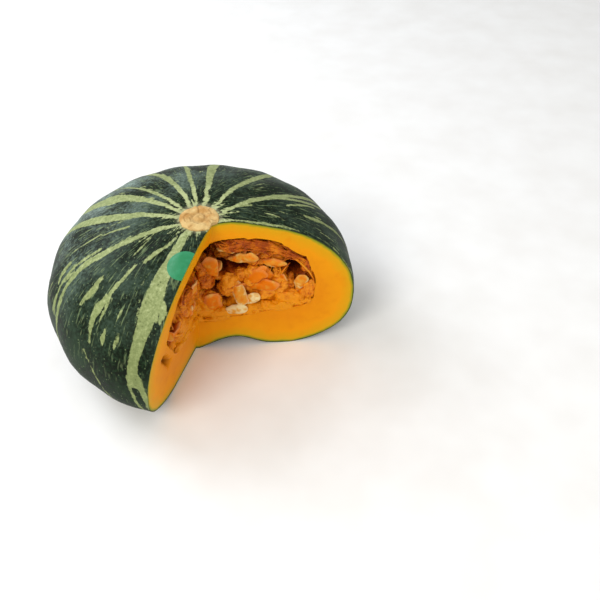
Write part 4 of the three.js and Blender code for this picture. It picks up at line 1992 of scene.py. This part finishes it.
    def seed_frames(self, draws: Draws) -> list[PlacedSeed]:
        """Places the seeds.

        Args:
            draws: Row of draws for those on the spiral.

        Returns:
            The seeds.
        """
        frames = []
        for step in range(self.seeds):
            way = self.spiral(step, self.seeds)
            normal = self.core_normal(way)
            first = UP.cross(normal).normalized()
            second = normal.cross(first)
            turn = math.radians(draws.between(0, 360))
            lean = math.radians(draws.between(*self.seed_leans))
            roll = math.radians(draws.between(*self.seed_rolls))
            flat = first * math.cos(turn) + second * math.sin(turn)
            along = flat * math.cos(lean) + normal * math.sin(lean)
            root = self.core_place(way) - along * self.seed_root
            facing = Quaternion(along, roll) @ normal
            tone = self.coated + (1 - self.coated) * abs(math.sin(step * self.coat_turn))
            if not self.in_pocket(self.own_frame @ root):
                frames.append(PlacedSeed(self.own_frame @ aimed(along, facing, root), tone))
        across = turned(self.face.azimuth)
        for spot in self.shown:
            turn = math.radians(spot.turn)
            lean = math.radians(spot.lean)
            flat = across * math.cos(turn) + UP * math.sin(turn)
            along = flat * math.cos(lean) + self.outwards * math.sin(lean)
            facing = Quaternion(along.normalized(), math.radians(spot.roll)) @ self.outwards
            root = spot.on(self.face) - along * (self.seed.length * spot.size / 2)
            frames.append(PlacedSeed(aimed(along, facing, root), spot.tone, spot.size, spot.rim, spot.gap))
        return frames

    def in_pocket(self, place: Vector) -> bool:
        """Whether a seed rooted at a place would hang in a dark pocket."""
        along, behind = place.dot(turned(self.face.azimuth)), -self.face.open_depth(place)
        return any(behind < p.depth and p.share(along, place.z) > self.pocket_edge for p in self.pockets)

    def seed_mesh(self, draws: Draws) -> BMesh:
        """Shapes the seeds and moves each one that stands too far out back into the hollow.

        Args:
            draws: Row of draws.

        Returns:
            The mesh of the seeds.
        """
        shape = bmesh.new()
        for layer in (Layer.TONE, Layer.RIM):
            layer.add_to(shape)
        ball = BallMould(self.seed.steps, self.seed.rows)
        for placed in self.seed_frames(draws):
            made = self.seed.add(shape, ball, placed)
            for _ in range(self.seed_rounds):
                moves = [self.kept_in(vert.co, placed.gap, self.seed_bed) - vert.co for vert in made]
                furthest = max(moves, key=lambda move: move.length)
                for vert in made:
                    vert.co += furthest
        ball.clear()

        # A seed swaps two axes of its ball, which turns the ball's faces inwards.
        bmesh.ops.reverse_faces(shape, faces=shape.faces)
        return shape

    def routes(self, draws: Draws) -> list[tuple[list[Vector], float]]:
        """Draws the courses of the strings.

        Args:
            draws: Row of draws for those over the core.

        Returns:
            The places along each string, and its radius.
        """
        string = self.string
        routes = [(self.arch(step, draws), string.radius) for step in range(self.strings)]
        chance = Random(RANDOM_SEED + len(self.side))
        for _ in range(self.fibres):
            places = self.fibre(chance)
            if (places[0] - places[-1]).length < string.longest_fibre:
                routes.append((places, string.fibre_radius * chance.uniform(*string.fibre_radii)))
        for _ in range(self.roof_strings):
            routes.append((self.roof_string(chance), string.radius * chance.uniform(*string.roof_radii)))
        return routes

    def string_mesh(self, draws: Draws) -> BMesh:
        """Shapes the strings, thickest in their middle.

        Args:
            draws: Row of draws.

        Returns:
            The mesh of the strings.
        """
        string = self.string
        curve = bpy.data.curves.new("strings_" + self.side, "CURVE")
        curve.dimensions = "3D"
        curve.bevel_depth = 1
        curve.bevel_resolution = 1
        curve.use_fill_caps = True
        for places, radius in self.routes(draws):
            spline = curve.splines.new("POLY")
            spline.points.add(len(places) - 1)
            for point, place, share in zip(spline.points, places, shares_of(len(places) - 1)):
                swell = (1 - string.thin_end) * math.sin(math.pi * share) ** string.thinning
                point.co = (*place, 1)
                point.radius = radius * (string.thin_end + swell)
        holder = bpy.data.objects.new(curve.name, curve)
        mesh = bpy.data.meshes.new_from_object(holder)
        bpy.data.objects.remove(holder)
        bpy.data.curves.remove(curve)
        shape = bmesh.new()
        crevice = Layer.CREVICE.add_to(shape)
        shape.from_mesh(mesh)
        bpy.data.meshes.remove(mesh)
        for vert in shape.verts:
            # Painted shade: strings grow darker towards the roof, over a tone that differs at random.
            unlike = string.unlike * noise.noise(vert.co / self.tangle_size)
            high = smoothstep(vert.co.z, *string.roof_heights)
            vert[crevice] = string.shade + unlike + string.roof_shade * high
        bmesh.ops.recalc_face_normals(shape, faces=shape.faces)
        return shape

    def arch(self, step: int, draws: Draws) -> list[Vector]:
        """Draws a string that leaves the core, arches over it and goes back in.

        Args:
            step: Number of the string.
            draws: Row of draws.

        Returns:
            The places along it.
        """
        string = self.string
        start = self.spiral(step, self.strings)
        axis = Vector((draws.between(-1, 1), 1, draws.between(-1, 1))).normalized()
        places = []
        for share in shares_of(string.arch_parts):
            way = Quaternion(axis, math.radians(string.arch_reach * share)) @ start
            rise = -string.arch_root + (string.arch_rise + string.arch_root) * math.sin(math.pi * share)
            place = self.core_place(way) + self.core_normal(way) * rise
            places.append(self.kept_in(self.own_frame @ place, self.clearance))
        return places

    def fibre(self, chance: Random) -> list[Vector]:
        """Draws a fine fibre from the hollow's roof to the core.

        Args:
            chance: Source of the draws.

        Returns:
            The places along it.
        """
        string = self.string
        azimuth = chance.uniform(*self.sector)
        radius = chance.uniform(*string.fibre_tops) * HOLLOW.radius
        top = turned(azimuth) * radius + UP * HOLLOW.roof(radius)
        way = (self.own_frame.inverted() @ top).normalized()
        swing = Vector([chance.uniform(*span) for span in string.fibre_swing])
        end = self.own_frame @ (self.core_place((way + swing).normalized()) * string.fibre_foot)
        sway = Vector([chance.uniform(*span) for span in string.fibre_sway])
        return [
            self.kept_in(top.lerp(end, share) + sway * math.sin(math.pi * share), string.gap)
            for share in shares_of(string.fibre_parts)]

    def roof_string(self, chance: Random) -> list[Vector]:
        """Draws a string that hangs along the roof just behind the knife face.

        Args:
            chance: Source of the draws.

        Returns:
            The places along it.
        """
        string = self.string
        start, length, behind, first, last, sag = (chance.uniform(*span) for span in (
            string.roof_starts, string.roof_lengths, string.roof_behind, *string.roof_drops, string.roof_sag))
        places = []
        for share in shares_of(string.fibre_parts):
            level = Spot(start + length * share, behind, HOLLOW.height).on(self.face)
            level.z = HOLLOW.roof(math.hypot(level.x, level.y)) - first - (last - first) * share
            level.z -= sag * math.sin(math.pi * share)
            places.append(self.kept_in(level, string.gap))
        return places

    def dress(self, draws: Draws, pulp: Material, coat: Material) -> list[Object]:
        """Makes the pieces of the bunch.

        Args:
            draws: Row of draws that goes on from bunch to bunch.
            pulp: Finish of pulp and strings.
            coat: Finish of the seeds.

        Returns:
            Pulp, seeds and strings.
        """
        node_name = "seed_bunch_" + self.side
        seeds = self.seed_mesh(draws)
        return [
            finished("pulp_" + self.side, self.pulp(), [pulp], Slot.PULP, [node_name]),
            finished("seeds_" + self.side, seeds, [coat], Slot.PULP),
            finished("strings_" + self.side, self.string_mesh(draws), [pulp], Slot.PULP),
        ]


def shares_of(parts: int) -> list[float]:
    """Even shares of a way from 0 to 1."""
    return [part / parts for part in range(parts + 1)]


def aimed(along: Vector, facing: Vector, place: Vector) -> Matrix:
    """Makes a frame at a place.

    Args:
        along: Direction of its X.
        facing: Direction that its Z is as near as can be to.
        place: Its origin.

    Returns:
        The frame.
    """
    x = along.normalized()
    y = facing.cross(x).normalized()
    matrix = Matrix((x, y, x.cross(y))).transposed().to_4x4()
    matrix.translation = place
    return matrix


# The three bunches of the hollow, in the order of their draws. Pockets and lobes are lists of their values.
BUNCHES = (
    SeedBunch(
        side="right", face=NOTCH.right, turn=NOTCH.right.azimuth,
        centre=Vector((38, 6, 54)), radii=Vector((36, 18, 25)), sector=(-78, 80), seeds=40, strings=8,
        fibres=110, roof_strings=140, ledge=LedgeForm((-3, 72)), spread_gap=5,
        pockets=tuple(Pocket(*values) for values in (
            (61, 58, 7, 6, 18), (47, 60, 6, 3.5, 15), (23, 62, 7, 3, 13), (13, 61, 5, 4, 15),
            (7, 48, 5, 3.5, 14), (14, 38, 3, 3, 9), (30, 52, 3, 4, 9), (45, 51, 3, 5, 9),
        )),
        shown=(
            SeedSpot(27, 3, 72, turn=14, roll=12, tone=0.62, size=1.25, rim=0.1),
            SeedSpot(45, 3, 67, turn=-3, roll=24, tone=0.68, size=1.15, rim=0.1),
            SeedSpot(23, 2, 46, turn=285, tone=0.55, size=1.25, rim=0.55),
            SeedSpot(38, 3, 49, turn=10, tone=0.8, size=1.3, rim=0.15),
            SeedSpot(19, 1.2, 31.5, turn=18, tone=0.16, size=1.15, gap=-2.5),
            SeedSpot(30, 2, 38, turn=55, tone=0.4, size=1.1),
            SeedSpot(6, 1.5, 36, turn=98, tone=0.85, size=1.5, rim=0.15, gap=-2.2),
            SeedSpot(63.5, 3, 49, turn=78, tone=0.5, size=1.15, rim=0.1),
            SeedSpot(18, 4, 79, turn=10, tone=0.7, size=0.85),
            SeedSpot(33, 3.5, 56, turn=35, tone=0.95, size=1.35, rim=0.1),
            SeedSpot(41, 4, 57, turn=110, tone=0.9, size=1.15, rim=0.1),
            SeedSpot(7, 3.5, 65, turn=95, tone=0.8, size=1.4, rim=0.15),
        ),
        lobes=tuple(Lobe(*values) for values in (
            (18, 4.5, 53, (5, 3, 6), 30, -0.14), (5, 2.5, 41, (7, 3, 6), -10, -0.16),
            (32, 3, 54, (5, 2.6, 4), 20, -0.12), (51, 4, 47, (4, 3, 7), -12, -0.12),
            (35, 6, 58, (8, 4, 5), 0, -0.12), (26, 8, 55, (6, 4, 5)), (16, 7, 46, (7, 5, 6), 0, -0.1),
            (50, 7, 50, (5, 4, 9), 15, -0.05), (56, 8, 46, (4, 4, 8), -15),
            (53, 5, 38, (8, 5, 6), 0, -0.12), (60, 4.5, 35, (10, 5, 6), 0, -0.16),
            (68, 4, 43, (5, 5, 9), -20, -0.05), (40, 6, 41, (8, 5, 5), 0, -0.12),
            (0, 6, 38, (7, 5, 8), 0, -0.1), (2, 6, 54, (6, 5, 7), 0, 0.1),
            (0, 5, 29, (8, 5, 6), 0, -0.15), (9, 4, 27, (8, 5, 5), 0, -0.15),
            (37, 7, 81, (8, 5, 3.5), -4, 0.3), (51, 8, 78, (8, 5, 3), -18, 0.36),
            (62, 6, 70, (6, 5, 3), -38, 0.3), (24, 6, 83, (12, 6, 4), 4, 0.24),
            (68, 5, 64, (4, 5, 7), -20, 0.15),
        )),
    ),
    SeedBunch(
        side="back", face=NOTCH.right, turn=45,
        centre=Vector((0, 37, 54)), radii=Vector((36, 29, 25)), sector=(80, 190), seeds=26, strings=4,
    ),
    SeedBunch(
        side="left", face=NOTCH.left, turn=NOTCH.left.azimuth,
        centre=Vector((38, -12, 55)), radii=Vector((33, 15, 24)), sector=(190, 282), seeds=34, strings=6,
        fibres=60, roof_strings=30, ledge=LedgeForm((4, 56)), spread_gap=4, coated=0.8,
        pockets=tuple(Pocket(*values) for values in (
            (57, 48, 6, 5, 12), (53, 62, 5, 4, 11), (16, 71, 6, 4, 11),
        )),
        shown=(
            SeedSpot(27, 3.5, 60, turn=72, tone=0.75, size=1.2),
            SeedSpot(28, 3.2, 44, turn=30, tone=0.3, size=0.75),
        ),
        lobes=tuple(Lobe(*values) for values in (
            (46, 4, 47, (7, 4, 9), 0, -0.1), (38, 4, 38, (9, 5, 7), 0, -0.16),
            (38, 5, 55, (7, 4, 8), 0, -0.05), (14, 4, 32, (7, 4, 6), 0, -0.1), (4, 6, 46, (7, 5, 9)),
            (8, 5, 64, (7, 5, 8), 0, 0.1), (40, 3, 67, (7, 4, 5), 0, 0.05),
        )),
    ),
)


@dataclass(frozen=True)
class SoftLight:
    """A soft square light, with its power in watts."""

    name: str
    place: Triple
    size: float
    power: float
    colour: str

    def hang(self, aim: Vector) -> None:
        """Hangs the light.

        Args:
            aim: Point it faces.
        """
        lamp = bpy.data.lights.new(self.name, "AREA")
        lamp.shape = "SQUARE"
        lamp.size = self.size * METRES
        lamp.energy = self.power
        lamp.color = to_linear(self.colour)[:3]
        place = Vector(self.place)
        holder = linked(self.name, lamp)
        holder.location = place * METRES
        holder.rotation_euler = (aim - place).to_track_quat("-Z", "Y").to_euler()


@dataclass
class Studio:
    """Pale paper floor, soft lights and the camera."""

    floor_size: float = 6000
    floor_parts: int = 8
    middle: Vector = Vector((0, -10, 50))
    lights: tuple[SoftLight, ...] = (
        SoftLight("key_light", (-380, -820, 850), 560, 6.6, "#fffaf2"),
        SoftLight("fill_light", (-750, 300, 700), 600, 6.8, "#eef4ff"),
        SoftLight("side_light", (800, -550, 450), 600, 1.2, "#fffaf2"),
    )
    sky: str = "#ffffff"
    sky_strength: float = 0.6
    eye: Vector = Vector((112.2, -337.7, 365.9))
    azimuth: float = 8
    elevation: float = 44.3
    image_size: float = 600
    focal_pixels: float = 713.9
    sensor: float = 36
    nearest: float = 10

    def floor(self) -> None:
        """Makes the floor, which isn't part of the object."""
        shape = bmesh.new()
        parts = self.floor_parts
        bmesh.ops.create_grid(shape, x_segments=parts, y_segments=parts, size=self.floor_size / 2 * METRES)
        mesh = meshed("studio_floor", shape)
        mesh.materials.append(STUDIO_PAPER.make())
        floor = linked("studio_floor", mesh)

    def surroundings(self) -> None:
        """Sets the pale surroundings."""
        world = bpy.data.worlds.new("pale_surroundings")
        world.use_nodes = True
        fill(world.node_tree.nodes["Background"], {
            "Color": to_linear(self.sky), "Strength": self.sky_strength})
        scene = bpy.context.scene
        scene.world = world
        scene.view_settings.view_transform = "Standard"

    def camera(self) -> None:
        """Sets up the camera."""
        lens = bpy.data.cameras.new("camera")
        lens.sensor_width = self.sensor
        lens.lens = self.focal_pixels / self.image_size * self.sensor
        lens.clip_start = self.nearest * METRES
        holder = linked("camera", lens)
        back = turned(self.azimuth - 90) * math.cos(math.radians(self.elevation))
        back.z = math.sin(math.radians(self.elevation))
        holder.location = self.eye * METRES
        holder.rotation_mode = "QUATERNION"
        holder.rotation_quaternion = back.to_track_quat("Z", "Y")
        bpy.context.scene.camera = holder

    def build(self) -> None:
        """Makes the floor, lights, surroundings and camera."""
        self.floor()
        for light in self.lights:
            light.hang(self.middle)
        self.surroundings()
        self.camera()


def main() -> None:
    """Builds the pieces in order."""
    logging.basicConfig(level=logging.INFO)
    Studio().build()
    FruitWall().dress()
    StemButton().dress()
    BlankLabel().dress()
    draws = Draws(RANDOM_SEED)
    pulp = WetPulp().make()
    coat = SeedCoat().make()
    for bunch in BUNCHES:
        bunch.dress(draws, pulp, coat)


if __name__ == "__main__":
    main()
